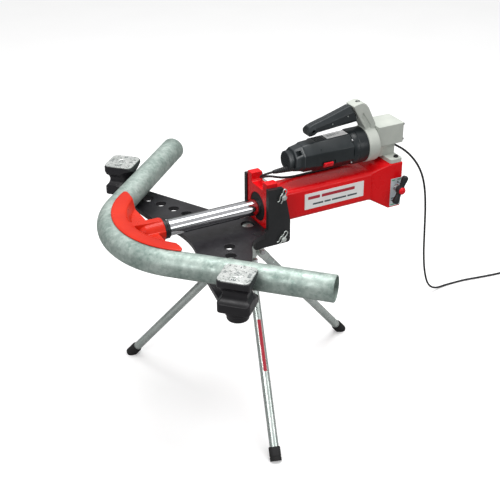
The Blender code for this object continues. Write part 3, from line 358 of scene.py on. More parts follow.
def smooth_path(points, spacing):
    knots = [Vector(p) for p in points]
    knots = [2 * knots[0] - knots[1]] + knots + [2 * knots[-1] - knots[-2]]
    fine = []
    for a, b, c, d in zip(knots, knots[1:], knots[2:], knots[3:]):
        for k in range(24):
            t = k / 24
            fine.append(0.5 * (2 * b + (c - a) * t + (2 * a - 5 * b + 4 * c - d) * t * t
                               + (3 * b - a - 3 * c + d) * t ** 3))
    fine.append(knots[-2])
    lengths = [0.0]
    for first, second in zip(fine, fine[1:]):
        lengths.append(lengths[-1] + (second - first).length)
    count = max(2, round(lengths[-1] / spacing))
    spots = []
    index = 0
    for k in range(count + 1):
        target = lengths[-1] * k / count
        while index < len(fine) - 2 and lengths[index + 1] < target:
            index += 1
        share = (target - lengths[index]) / max(1e-9, lengths[index + 1] - lengths[index])
        spots.append(fine[index].lerp(fine[index + 1], min(1.0, share)))
    return spots


def add(name, data):
    item = bpy.data.objects.new(name, data)
    bpy.context.collection.objects.link(item)
    return item


def temporary(bm):
    bmesh.ops.recalc_face_normals(bm, faces=bm.faces)
    mesh = bpy.data.meshes.new("temporary")
    bm.to_mesh(mesh)
    bm.free()
    return add("temporary", mesh)


def evaluated(item):
    """The item's mesh with its modifiers applied, as a bmesh; the item itself is removed."""
    graph = bpy.context.evaluated_depsgraph_get()
    bm = bmesh.new()
    bm.from_mesh(item.evaluated_get(graph).data)
    bpy.data.objects.remove(item)
    return bm


def combine(bm, *tools, operation="DIFFERENCE"):
    item = temporary(bm)
    helpers = []
    for tool in tools:
        helper = temporary(tool)
        modifier = item.modifiers.new("boolean", "BOOLEAN")
        modifier.object = helper
        modifier.operation = operation
        modifier.solver = "EXACT"
        helpers.append(helper)
    result = evaluated(item)
    for helper in helpers:
        bpy.data.objects.remove(helper)
    return result


def cast(bm, voxel, smoothing=6, keep=None):
    """Rounds every edge of a casting: an even remesh, smoothed, then thinned on its flat faces."""
    item = temporary(bm)
    remesh = item.modifiers.new("remesh", "REMESH")
    remesh.mode = "VOXEL"
    remesh.voxel_size = voxel
    soften = item.modifiers.new("smooth", "SMOOTH")
    soften.factor = 0.5
    soften.iterations = smoothing
    if keep:
        thin = item.modifiers.new("thin", "DECIMATE")
        thin.ratio = keep
    return evaluated(item)


def piece(name, bm, mat, slot, *nodes, body="machine", bevel=0.0, segments=2, sharp=30.0, limit=35.0):
    """Makes the visible piece from millimetres: beveled, shaded, riding on its body."""
    bmesh.ops.recalc_face_normals(bm, faces=bm.faces)
    bmesh.ops.scale(bm, vec=(MM, MM, MM), verts=bm.verts)
    mesh = bpy.data.meshes.new(name)
    bm.to_mesh(mesh)
    bm.free()
    mesh.materials.append(mat)
    mesh.shade_smooth()
    item = add(name, mesh)
    item.location = ORIGIN
    if bevel:
        edge = item.modifiers.new("bevel", "BEVEL")
        edge.width = bevel * MM
        edge.segments = segments
        edge.limit_method = "ANGLE"
        edge.angle_limit = radians(limit)
        edge.harden_normals = True
    else:
        mesh.set_sharp_from_angle(angle=radians(sharp))
    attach(item, body)
    if nodes:
        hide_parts(*nodes)
    return item


def dress(node, mat):
    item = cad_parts[node]
    item.data.materials.clear()
    item.data.materials.append(mat)


# ---- Camera, light and floor -----------------------------
CAMERA_LENS = 74.2
CAMERA_AT = (-0.9075, -1.9815, 1.1222)
CAMERA_AIM = (0.0286, -0.1859, 0.0)
CAMERA_ROLL = -0.39


def build_studio():
    data = bpy.data.cameras.new("camera")
    data.lens = CAMERA_LENS
    data.sensor_width = 36.0
    camera = add("camera", data)
    camera.location = ORIGIN + Vector(CAMERA_AT)
    target = ORIGIN + Vector(CAMERA_AIM)
    look = (target - camera.location).to_track_quat("-Z", "Y").to_matrix()
    roll = Matrix.Rotation(radians(CAMERA_ROLL), 3, "Z")
    camera.rotation_euler = (look @ roll).to_euler()
    bpy.context.scene.camera = camera

    mesh = bpy.data.meshes.new("floor")
    corners = [(x, y, 0) for x, y in ((-30, -30), (30, -30), (30, 30), (-30, 30))]
    mesh.from_pydata(corners, [], [(0, 1, 2, 3)])
    pale = Surface("pale_floor", 0.9, Emission_Color=(1.0, 1.0, 1.0, 1.0), Emission_Strength=0.22)
    pale.colour(pale.ramp(pale.noise(3.0, 2.0), [(0.3, (0.89, 0.89, 0.89)), (0.7, (0.91, 0.91, 0.91))]))
    dim = pale.node("ShaderNodeBsdfDiffuse", Color=(0.34, 0.34, 0.34, 1.0))
    rays = pale.node("ShaderNodeLightPath")
    choice = pale.node("ShaderNodeMixShader", Fac=rays.outputs["Is Camera Ray"])
    pale.tree.links.new(dim.outputs["BSDF"], choice.inputs[1])
    pale.tree.links.new(pale.shader.outputs["BSDF"], choice.inputs[2])
    pale.tree.links.new(choice.outputs["Shader"], pale.tree.nodes["Material Output"].inputs["Surface"])
    mesh.materials.append(pale.mat)
    floor = add("floor", mesh)
    floor.location = (0, 0, -0.0004)

    def area(name, at, aim, size, power):
        light = bpy.data.lights.new(name, "AREA")
        light.shape = "RECTANGLE"
        light.size, light.size_y = size
        light.energy = power
        item = add(name, light)
        item.location = at
        item.rotation_euler = (Vector(aim) - Vector(at)).to_track_quat("-Z", "Y").to_euler()

    area("overhead", (0.3, 0.2, 3.2), (0, 0, 0.4), (2.2, 1.5), 64)
    area("key", (-2.6, -1.6, 2.4), (0, 0, 0.4), (1.2, 1.2), 30)
    area("fill", (1.6, -3.0, 1.4), (0.1, 0, 0.4), (1.6, 1.2), 17)

    world = bpy.data.worlds.new("studio")
    bpy.context.scene.world = world
    world.use_nodes = True
    nodes, links = world.node_tree.nodes, world.node_tree.links
    background = nodes["Background"]
    spot = nodes.new("ShaderNodeTexCoord")
    split = nodes.new("ShaderNodeSeparateXYZ")
    links.new(spot.outputs["Generated"], split.inputs[0])
    ramp = nodes.new("ShaderNodeValToRGB")
    stops = ((0.0, 0.30), (0.49, 0.22), (0.52, 0.04), (0.61, 0.06), (0.66, 0.80), (1.0, 1.0))
    fill_ramp(ramp, stops)
    scale = nodes.new("ShaderNodeMapRange")
    scale.inputs["From Min"].default_value = -1.0
    links.new(split.outputs["Z"], scale.inputs["Value"])
    links.new(scale.outputs["Result"], ramp.inputs["Fac"])
    lens = nodes.new("ShaderNodeLightPath")
    mix = nodes.new("ShaderNodeMixShader")
    plain = nodes.new("ShaderNodeBackground")
    plain.inputs["Color"].default_value = (1, 1, 1, 1)
    links.new(ramp.outputs["Color"], background.inputs["Color"])
    background.inputs["Strength"].default_value = 0.75
    links.new(lens.outputs["Is Camera Ray"], mix.inputs["Fac"])
    links.new(background.outputs[0], mix.inputs[1])
    links.new(plain.outputs[0], mix.inputs[2])
    links.new(mix.outputs[0], nodes["World Output"].inputs["Surface"])
    bpy.context.scene.view_settings.view_transform = "Standard"


# ---- Mains lead ------------------------------------------
CORD_RADIUS = 2.9
CORD_FLOOR = FLOOR + CORD_RADIUS + 0.2
COIL = (1155.0, 150.0)
COIL_RADIUS = 32.0
COIL_NEAR = COIL[1] - COIL_RADIUS - 4 * CORD_RADIUS - 0.3
CORD_ROUTE = (
    (181.7, -12.0, 88.0), (177.0, -12.0, 88.0), (169.5, -8.5, 85.5), (163.0, -2.5, 81.1),
    (160.5, 6.2, 74.8), (163.5, 15.3, 68.2), (171.8, 22.0, 63.4), (183.0, 24.4, 61.6),
    (198.0, 25.0, 58.5), (216.0, 25.8, 52.0), (236.0, 26.5, 46.4), (262.0, 27.0, 43.4),
    (300.0, 27.5, 43.2), (350.0, 27.5, 43.2), (395.0, 28.5, 43.4), (426.0, 34.0, 47.0),
    (448.0, 44.0, 59.0), (470.0, 53.0, 73.0), (490.0, 57.0, 77.0), (518.0, 58.0, 76.5),
    (545.0, 58.0, 70.0), (572.0, 59.0, 59.0), (597.0, 60.0, 44.0), (622.0, 60.5, 26.0),
    (646.0, 61.0, 3.0), (669.0, 62.5, -26.0), (690.0, 65.0, -64.0), (707.0, 70.0, -114.0),
    (720.0, 77.0, -180.0), (731.0, 86.0, -258.0), (743.0, 96.0, -335.0), (760.0, 106.0, -405.0),
    (784.0, 115.0, -460.0), (820.0, 124.0, CORD_FLOOR + 6.0), (870.0, 130.0, CORD_FLOOR),
    (930.0, 127.0, CORD_FLOOR), (990.0, 117.0, CORD_FLOOR), (1045.0, 109.0, CORD_FLOOR),
    (1100.0, COIL_NEAR, CORD_FLOOR), (COIL[0] - 10.0, COIL_NEAR + 2.0, CORD_FLOOR),
)


def build_cord():
    """One lead: down to the floor, wound three wide and three high, and out to its plug."""
    points = [Vector(p) for p in smooth_path(CORD_ROUTE, 8.0)]
    pitch = 2 * CORD_RADIUS + 0.15
    columns = (COIL_RADIUS + pitch, COIL_RADIUS, COIL_RADIUS - pitch)
    turns = []
    for level, order in enumerate((columns, columns[::-1], columns[:1] * 2)):
        turns += [(radius, CORD_FLOOR + level * pitch) for radius in order]
    steps = 24
    for k in range(1, 7 * steps + 1):
        whole, part = divmod(k, steps)
        ease = min(1.0, part / 8.0)
        ease = ease * ease * (3 - 2 * ease)
        previous = turns[max(0, whole - 1)]
        current = turns[whole]
        if whole == 0:
            previous = current
        radius = previous[0] + (current[0] - previous[0]) * ease
        height = previous[1] + (current[1] - previous[1]) * ease
        angle = radians(-90 + 360 * k / steps)
        points.append(Vector((COIL[0] + radius * cos(angle), COIL[1] + radius * sin(angle), height)))
    end = Vector((COIL[0] + 29.5, COIL[1] - COIL_RADIUS - 2 * CORD_RADIUS, FLOOR + 18.2))
    last = points[-1]
    for share in (0.25, 0.5, 0.75, 1.0):
        bend = share * share * (3 - 2 * share)
        points.append(Vector((last.x + (end.x - last.x) * share, last.y + (end.y - last.y) * bend,
                              last.z + (end.z - last.z) * bend)))
    lead = piece("lead", tube(points, CORD_RADIUS, 12), SOFT_BLACK, "rubber", "mains_lead", "lead_coil",
                 sharp=60)
    dress("mains_plug", RUBBER)


# ---- Workpiece, former and ram ---------------------------
PIPE_RADIUS = 30.15
BEND = 220.0
PIPE_BORE = 26.55
LEG = 375.0


def bend_stations(half_angle, steps, leg, leg_steps=1):
    stations = []
    for k in range(steps + 1):
        angle = pi - half_angle + 2 * half_angle * k / steps
        stations.append((BEND * cos(angle), BEND * sin(angle), angle))
    for sign, end in ((1, 0), (-1, -1)):
        start = stations[end]
        for k in range(1, leg_steps + 1):
            spot = inset(start, sign * leg * k / leg_steps)
            stations.insert(0 if end == 0 else len(stations), spot)
    return stations


def inset(station, run):
    x, y, angle = station
    return (x + run * sin(angle), y - run * cos(angle), angle)


def section(station, radius, sides):
    x, y, angle = station
    spots = []
    for k in range(sides):
        turn = 2 * pi * k / sides
        out = radius * cos(turn)
        spots.append((x + out * cos(angle), y + out * sin(angle), radius * sin(turn)))
    return spots


def build_pipe():
    stations = bend_stations(radians(45), 60, LEG, 10)
    sides = 72
    first, last = stations[0], stations[-1]
    bm = bmesh.new()
    walk = [(first, PIPE_RADIUS - 1.0), (inset(first, -1.0), PIPE_RADIUS)]
    walk += [(s, PIPE_RADIUS) for s in stations[1:-1]]
    walk += [(inset(last, 1.0), PIPE_RADIUS), (last, PIPE_RADIUS - 1.0), (last, 26.8)]
    walk += [(s, PIPE_BORE) for s in reversed(stations[1:-1])] + [(first, 26.8)]
    rings = [[bm.verts.new(spot) for spot in section(s, r, sides)] for s, r in walk]
    for a, b in zip(rings, rings[1:] + rings[:1]):
        skin(bm, a, b)
    piece("bent_pipe", bm, PIPE, "galvanised", "pipe", sharp=50)


FORMER_LIP = 216.0
FORMER_CREST = 196.0
FORMER_REACH = 52.0
FORMER_INNER = 169.0
FORMER_CHORD = -126.0
FORMER_HALF = 34.0


def turned_band(profile, reach, steps):
    """Sweeps a closed (radius, height) profile about the bend's centre, to the reach on each side."""
    sections = []
    for k in range(steps + 1):
        a = radians(180 - reach + 2 * reach * k / steps)
        sections.append([(r * cos(a), r * sin(a), z) for r, z in profile])
    return loft(sections)


def build_former():
    """A casting: broad rim round the pipe's inner side, thin web, rib and boss for the ram."""
    reach = degrees(acos(-FORMER_CHORD / FORMER_LIP))
    lip, crest, half = FORMER_LIP, FORMER_CREST, FORMER_HALF
    upper = [(lip, 30.6), (lip - 2, 33.0), (lip - 7, half), (crest, half), (crest - 12, 33.0),
             (crest - 18, 30.0), (crest - 22, 21.0), (FORMER_INNER, 9.0)]
    rim = turned_band(upper + [(r, -z) for r, z in reversed(upper)], FORMER_REACH, 96)
    web = prism(arc((0, 0), FORMER_INNER + 8, 180 - reach - 3, 180 + reach + 3, 48), -8.0, 8.0)
    edge = [(2 - crest, 33.0), (-165, 31.0), (-140, 29.0), (-110, 28.5)]
    rib = prism(edge + [(x, -z) for x, z in reversed(edge)], -9.5, 9.5, "XZ")
    boss = rev([(-178, 0), (-172, 17), (-152, 26), (-106.3, 28), (-106.3, 0)], sides=48)
    flare = loft([[(x, y, z) for y, z in ((-w, -8), (w, -8), (w, 8), (-w, 8))] for x, w in
                  ((-106.4, 30.0), (-122.0, 33.0), (-140.0, 44.0), (-150.0, 62.0))])
    body = combine(rim, web, rib, boss, flare, operation="UNION")
    near_side = slab((FORMER_CHORD, -300, -60), (60, -28.5, 60))
    far_side = slab((FORMER_CHORD, 28.5, -60), (60, 300, 60))
    front = slab((-106.3, -40, -60), (60, 40, 60))
    groove = loft([section(s, PIPE_RADIUS + 0.5, 64) for s in bend_stations(radians(60), 72, 40)])
    body = combine(body, near_side, far_side, front, groove)
    body = cast(body, 1.2, 5, keep=0.35)
    piece("former_casting", body, ORANGE, "red_paint", "bending_former", body="ram_group", sharp=75)


def build_ram():
    shaft = rev([(-126, 0), (-126, 12), (-125, 13), (-106, 13), (-106, 18.5), (-104.5, 20), (226.7, 20),
                 (226.7, 13), (257, 13), (257, 0)], sides=96)
    piece("ram_rod", shaft, CHROME, "chrome", "ram", body="ram_group")
    collar = rev([(-106, 20.3), (-106, 23.6), (-105, 24.5), (-101, 24.5), (-100.4, 23.7), (-99.4, 23.7),
                  (-98.8, 24.5), (-93, 24.5), (-92, 23.6), (-92, 20.3)], sides=72, closed=True)
    piece("collar_band", collar, EAR_BLACK, "black_steel", "ram_collar", body="ram_group")
    for turn in (100, 220, 340):
        y, z = cos(radians(turn)), sin(radians(turn))
        screw = rev([(23.0, 0), (23.0, 1.9), (24.9, 1.9), (25.1, 1.6), (25.1, 0.9), (24.2, 0.9), (24.2, 0)],
                    axis=(0, y, z), centre=(-96, 0, 0), sides=18)
        piece(f"collar_screw_{turn}", screw, STEEL, "steel", body="ram_group", sharp=40)


# ---- Cylinder --------------------------------------------
CROSS_PIN_X = 182.3
CROSS_PIN_HEIGHTS = (44, -68)
LABEL_INK = (-41.42, -41.3, "XZ")


def build_cylinder():
    outline = [(-49.5, -82), (49.5, -82), (49.5, 77), (28, 77), (28, 60.5)]
    outline += arc((22, 60.5), 6, 0, -90, 4) + arc((-22, 60.5), 6, 270, 180, 4)
    outline += [(-28, 77), (-49.5, 77)]
    flange = prism(outline, 146, 175, "YZ")
    mouth = rev([(140, 0), (140, 36.5), (150.5, 36.5), (150.5, 33.8), (180, 33.8), (180, 0)], sides=72)
    flange = combine(flange, mouth)
    piece("flange_plate", flange, RED, "red_paint", "cylinder_flange", bevel=1.6, segments=3)
    gland = rev([(149, 20.3), (149, 26), (151, 33.3), (175, 33.3), (175, 20.3)], sides=72, closed=True)
    piece("gland", gland, BRONZE, "bronze", "gland_bush")
    wiper = rev([(148.9, 20.5), (147.4, 23.2), (147.6, 25.8), (149.4, 30.0), (150.4, 33.6), (150.4, 36.2),
                 (147.8, 36.2), (147.2, 31.5), (146.6, 26), (146.9, 20.5)], sides=72, closed=True)
    piece("wiper_lip", wiper, RUBBER, "rubber", sharp=50)

    steps = ((175.3, 73, 10), (199.2, 73, 10), (200, 78.4, 11), (200.8, 80, 11.5), (452, 80, 11.5))
    body = loft([[(x, y, z) for y, z in rounded(side, side, corner, 10)] for x, side, corner in steps])
    bore = rod(31, 170, 460, sides=72)
    relief = rod(8, -60, 60, axis=Y, centre=(CROSS_PIN_X, 0, CROSS_PIN_HEIGHTS[0]), sides=32)
    body = combine(body, bore, relief)
    piece("square_tube", body, RED, "red_paint", "cylinder_tube", sharp=32)
    seam = [(452.2, y, z) for y, z in rounded(80.5, 80.5, 12, 8)]
    weld = tube(seam + seam[:1], 1.3, 8)
    piece("tube_weld", weld, RED, "red_paint", sharp=60)

    steps = ((452.3, 80, 9), (492, 121.6, 3.0), (526.6, 121.6, 3.0), (528, 119.0, 2.4))
    block = loft([[(x, y, z) for y, z in rounded(side, side, corner, 5)] for x, side, corner in steps])
    port = rod(7.3, -70, -30, axis=Y, centre=(VALVE_X, 0, VALVE_Z), sides=32)
    block = combine(block, port)
    piece("end_block", block, RED, "red_paint", "rear_block", sharp=28)
    for index, (y, z) in enumerate(((-44, 44), (44, 44), (44, -44), (-44, -44))):
        cap = rev([(528, 0), (528, 7.5), (531.5, 7.5), (532.5, 6.4), (532.5, 4), (530, 4), (530, 0)],
                  centre=(0, y, z), sides=24)
        piece(f"end_screw_{index}", cap, EAR_BLACK, "black_steel")

    # foil label with generic bars in place of lettering
    plate = prism(rounded(171, 42, 1.5, 4, (341.5, 2)), -41.3, -40.25, "XZ")
    piece("side_label", plate, WHITE_FILM, "label", "tube_label", bevel=0.2, segments=1)
    ink = bmesh.new()
    prism(rounded(96, 8.0, 2.0, 4, (352, 10.5)), *LABEL_INK, bm=ink)
    prism(rounded(34, 8.0, 2.0, 4, (282, 10.5)), *LABEL_INK, bm=ink)
    piece("label_bars_red", ink, INK_RED, "label", sharp=40)
    ink = bmesh.new()
    x = 0.0
    for width in (30, 18, 42, 28):
        prism(rounded(width, 4.4, 0.8, 3, (279 + x + width / 2, -7.5)), *LABEL_INK, bm=ink)
        x += width + 3.4
    piece("label_bars_grey", ink, INK_GREY, "label", sharp=40)


VALVE_X = 512.0
VALVE_Z = -6.0
VALVE_INK = (-62.42, -62.3, "XZ")


def build_valve():
    plate = prism(rounded(32, 76, 1.5, 4, (510.5, -18)), -62.3, -61.25, "XZ")
    hole = rod(8.6, -70, -55, axis=Y, centre=(VALVE_X, 0, VALVE_Z), sides=32)
    piece("valve_foil", combine(plate, hole), FOIL, "label", "valve_plate")
    green = bmesh.new()
    for x0, x1, z0, z1 in ((497, 507, 14, 17.5), (514, 524, 14, 17.5), (497, 509, -53.5, -50)):
        prism([(x0, z0), (x1, z0), (x1, z1), (x0, z1)], *VALVE_INK, bm=green)
    piece("valve_marks_green", green, INK_GREEN, "label", sharp=40)
    marks = bmesh.new()
    sweep = arc((VALVE_X, VALVE_Z), 14.5, 20, 75, 10) + arc((VALVE_X, VALVE_Z), 12.8, 75, 20, 10)
    prism(sweep, *VALVE_INK, bm=marks)
    prism([(513, 5.5), (519, 9.5), (513.5, 12)], *VALVE_INK, bm=marks)
    for z in (-34, -40):
        prism(rounded(11, 3.4, 1.0, 3, (503, z)), *VALVE_INK, bm=marks)
        prism(rounded(6, 3.4, 1.0, 3, (516, z)), *VALVE_INK, bm=marks)
    piece("valve_marks_grey", marks, INK_GREY, "label", sharp=40)

    centre = (VALVE_X, -61, VALVE_Z)
    spindle = rev([(25, 0), (25, 7), (-3, 7), (-4, 6.4), (-6, 6.4), (-7, 7), (-10, 7), (-10.4, 4.5),
                   (-26, 4.5), (-26, 0)], axis=Y, centre=centre, sides=40)
    piece("valve_stem", spindle, STEEL, "steel", "valve_spindle", body="release_valve")
    lobe_centre = (VALVE_X, -79.7, VALVE_Z)
    tilt = 68.0
    hub = rev([(-26, 4.8), (-26, 9.5), (-24.5, 11), (-13.5, 11), (-11.5, 10), (-11.5, 4.8)], axis=Y,
              centre=centre, sides=40, closed=True)
    lobes = []
    for turn in (tilt, tilt + 180):
        ux, uz = cos(radians(turn)), sin(radians(turn))
        lobes.append(rev([(6.5, 0), (6.5, 6.8), (17, 7.0), (24, 8.2), (31, 8.7), (35.5, 7.8), (37.6, 5.2),
                          (38.2, 2.5), (38.3, 0)], axis=(ux, 0, uz), centre=lobe_centre, sides=32))
    grip = combine(hub, *lobes, operation="UNION")
    grooves = []
    for turn in (tilt, tilt + 180):
        ux, uz = cos(radians(turn)), sin(radians(turn))
        for run in (23.0, 28.0, 33.0):
            grooves.append(ring(7.9, 12.0, run - 0.7, run + 0.7, axis=(ux, 0, uz), centre=lobe_centre,
                                sides=32))
    grip = combine(grip, *grooves)
    piece("valve_grip", grip, SOFT_BLACK, "black_plastic", "valve_handle", body="release_valve", sharp=35)
    cap = rev([(-26.3, 0), (-26.3, 9.2), (-29.0, 8.8), (-30.6, 7.0), (-31.5, 3.5), (-31.6, 0)], axis=Y,
              centre=centre, sides=40)
    piece("valve_button", cap, RED_PLASTIC, "red_plastic", "valve_cap", body="release_valve", sharp=50)


# ---- Bending frame ---------------------------------------
PIN_AT = (-73.857, 324.88)
HOLE_RADIUS = 13.0
PLATE_FACES = (-54.0, -42.0)


def build_frame():
    front = arc((-279, 0), 238, 0, 28.9, 30) + arc(PIN_AT, 30, 188, 28, 24)
    fillet = smooth_path([(70, 120, 0), (76, 105, 0), (84, 92, 0), (93, 82.5, 0), (104, 76, 0),
                          (117, 71, 0), (130, 67.5, 0)], 4.0)
    half = front + [(p.x, p.y) for p in fillet]
    half += [(130, 62.3), (107.7, 62.3), (107.7, 49.7), (145, 49.7), (145, 0)]
    outline = half[:-1] + [(x, -y) for x, y in reversed(half[:-1]) if y > 0]
    plate = prism(outline, *PLATE_FACES)
    holes = []
    for side in (1, -1):
        drill = bmesh.new()
        for k in range(7):
            x = 29 + (PIN_AT[0] - 29) * k / 6
            y = side * (82 + (PIN_AT[1] - 82) * k / 6)
            rod(HOLE_RADIUS, -60, -36, axis=Z, centre=(x, y, 0), sides=40, bm=drill)
        holes.append(drill)
    holes.append(rod(16.6, -60, -36, axis=Z, centre=(COLUMN_X, 0, 0), sides=48))
    plate = combine(plate, *holes)
    piece("wing_plate", plate, BLACK, "black_steel", "frame_plate", bevel=0.8, limit=50)

    side_view = [(108, -82), (195, -82)] + arc((196, -74), 8, -75, 0, 5) + [(204, -25), (188, 60)]
    side_view += arc((182, 60.5), 5.5, 10, 85, 4) + [(143.5, 68.2), (143.5, -34), (138, -42), (108, -42)]
    for side, name in ((-1, "near"), (1, "far")):
        faces = sorted((side * 50.0, side * 62.0))
        ear = prism(side_view, faces[0], faces[1], "XZ")
        tools = [rod(7.3, -20, 20, axis=Y, centre=(CROSS_PIN_X, side * 56, z), sides=32)
                 for z in CROSS_PIN_HEIGHTS]
        piece(f"side_ear_{name}", combine(ear, *tools), EAR_BLACK, "black_steel", f"ear_{name}", bevel=0.9,
              limit=50)

    for name, z, turn in zip(("upper", "lower"), CROSS_PIN_HEIGHTS, (62.0, 48.0)):
        shape = [(-73, 0), (-73, 4.6), (-71, 6.9), (62.3, 6.9), (62.3, 10.2), (63.1, 11), (67.3, 11),
                 (68.3, 10), (68.3, 0)]
        pin = rev(shape, axis=Y, centre=(CROSS_PIN_X, 0, z), sides=40)
        ux, uz = cos(radians(turn)), sin(radians(turn))
        hole = rod(1.9, -20, 20, axis=(ux, 0, uz), centre=(CROSS_PIN_X, -67.5, z), sides=16)
        piece(f"cross_pin_{name}", combine(pin, hole), ZINC, "zinc", f"{name}_pin")
        side = Vector((-uz, 0, ux))
        along = Vector((ux, 0, uz))
        middle = Vector((CROSS_PIN_X, -67.5, z))
        legs = [(-16, 0), (-8, 0), (0, 0), (8, 0), (14, 0), (18, 1.2), (20.5, 5.0), (19.0, 9.0),
                (15.0, 10.2), (11.0, 8.8), (7.5, 9.0), (0, 10.5), (-7.5, 9.0), (-11, 8.0), (-15, 11.0)]
        route = smooth_path([middle + along * a + side * b for a, b in legs], 1.2)
        piece(f"hairpin_{name}", tube(route, 1.4, 12), ZINC, "zinc", f"{name}_clip", sharp=60)


# ---- Supports --------------------------------------------
def build_support(name, side):
    group = f"support_{name}_group"
    centre = Vector((PIN_AT[0], side * PIN_AT[1], 0))
    turn = Matrix.Rotation(radians(-45 if side > 0 else 45), 4, "Z")
    place = Matrix.Translation(centre) @ turn
    body = prism(rounded(74, 74, 9, 8), -41.5, 35)
    sections = []
    for k in range(61):
        heading = radians(-100 + 200 * k / 60)
        spots = []
        for n in range(56):
            a = 2 * pi * n / 56
            out = 61.95 + 30.8 * cos(a)
            spots.append((out * cos(heading), out * sin(heading), 30.8 * sin(a)))
        sections.append(spots)
    tools = [loft(sections)]
    for heading, radius in ((180, 24.2), (90, 21.2), (-90, 16.9)):
        x = (37 + 0.5 * radius) * cos(radians(heading))
        y = (37 + 0.5 * radius) * sin(radians(heading))
        along = Y if heading == 180 else X
        tools.append(rod(radius, -60, 60, axis=along, centre=(x, y, 0), sides=56))
    body = combine(body, *tools)
    body = cast(body, 1.15, 6, keep=0.4)
    move(body, place)
    piece(f"support_block_{name}", body, BLACK, "black_steel", f"support_{name}", body=group, sharp=75)

    top = prism(rounded(73, 73, 13, 10), 35.3, 38.4)
    move(top, place)
    piece(f"size_mark_plate_{name}", top, SIZE_ZINC, "zinc", f"size_plate_{name}",
          body=group, bevel=0.7, limit=50)
    ink = bmesh.new()
    for heading in (0, 90, 180, 270):
        part = bmesh.new()
        spin = Matrix.Rotation(radians(heading), 4, "Z")
        count = 1 + heading // 90
        for k in range(count):
            y = (k - (count - 1) / 2) * 4.2
            slab((23.5, y - 1.0, 38.38), (30.5, y + 1.0, 38.5), bm=part)
        move(part, place @ spin)
        copy = bpy.data.meshes.new("part")
        part.to_mesh(copy)
        part.free()
        ink.from_mesh(copy)
    piece(f"size_marks_{name}", ink, INK_GREY, "zinc", body=group, sharp=40)
    disc = rev([(38.3, 0), (38.3, 15.5), (38.7, 15.5), (39.3, 14.6), (39.3, 12.4), (38.6, 11.6), (38.6, 0)],
               axis=Z, sides=48)
    move(disc, place)
    piece(f"size_plate_ring_{name}", disc, SIZE_ZINC, "zinc", body=group, sharp=40)
    dots = bmesh.new()
    for x, y, wide in ((-5.2, -3.0, 2.6), (-1.6, 3.2, 3.2), (2.6, -2.6, 3.0), (5.4, 2.8, 2.2)):
        slab((x - 0.9, y - wide, 38.55), (x + 0.9, y + wide, 38.8), bm=dots)
    move(dots, place)
    piece(f"size_ring_marks_{name}", dots, INK_GREY, "zinc", body=group, sharp=40)

    stud = rev([(27.5, 0), (27.5, 12.2), (-54.3, 12.2), (-54.3, 23.6), (-55.6, 25), (-68, 25),
                (-70.5, 23.4), (-72.3, 20), (-72.3, 0)], axis=Z, centre=tuple(centre), sides=64)
    piece(f"pin_boss_{name}", stud, BLACK, "black_steel", f"support_pin_{name}")


# ---- Tripod ----------------------------------------------
COLUMN_X = 120.0
HINGE_OUT = 36.0
HINGE_Z = -128.0
LEG_OUT = 305.0
LEG_AZIMUTHS = (-107.0, 13.0, 133.0)


def build_tripod():
    column = rev([(-47, 0), (-47, 13.5), (-48.2, 15), (-54.3, 15), (-54.3, 24), (-55.3, 25), (-59.3, 25),
                  (-60.3, 24), (-60.3, 21), (-149, 21), (-150, 20), (-150, 0)], axis=Z,
                 centre=(COLUMN_X, 0, 0), sides=72)
    lugs, drills = [], []
    run = Vector((LEG_OUT, 0, FLOOR + 4 - HINGE_Z))
    length = run.length
    direction = run.normalized()
    slope = atan2(-direction.z, direction.x)
    for index, azimuth in enumerate(LEG_AZIMUTHS, start=1):
        a = radians(azimuth)
        place = Matrix.Translation((COLUMN_X + HINGE_OUT * cos(a), HINGE_OUT * sin(a), HINGE_Z))
        place = place @ Matrix.Rotation(a, 4, "Z")
        lug = prism(arc((0, 0), 11, -90, 90, 24) + [(-20, 11), (-20, -11)], -4, 4, "XZ")
        move(lug, place)
        lugs.append(lug)
        drill = rod(4.3, -20, 20, axis=Y, sides=24)
        move(drill, place)
        drills.append(drill)
        build_leg(index, place, slope, length)
    column = combine(combine(column, *lugs, operation="UNION"), *drills)
    piece("stand_column", column, ZINC, "zinc", "tripod_column")


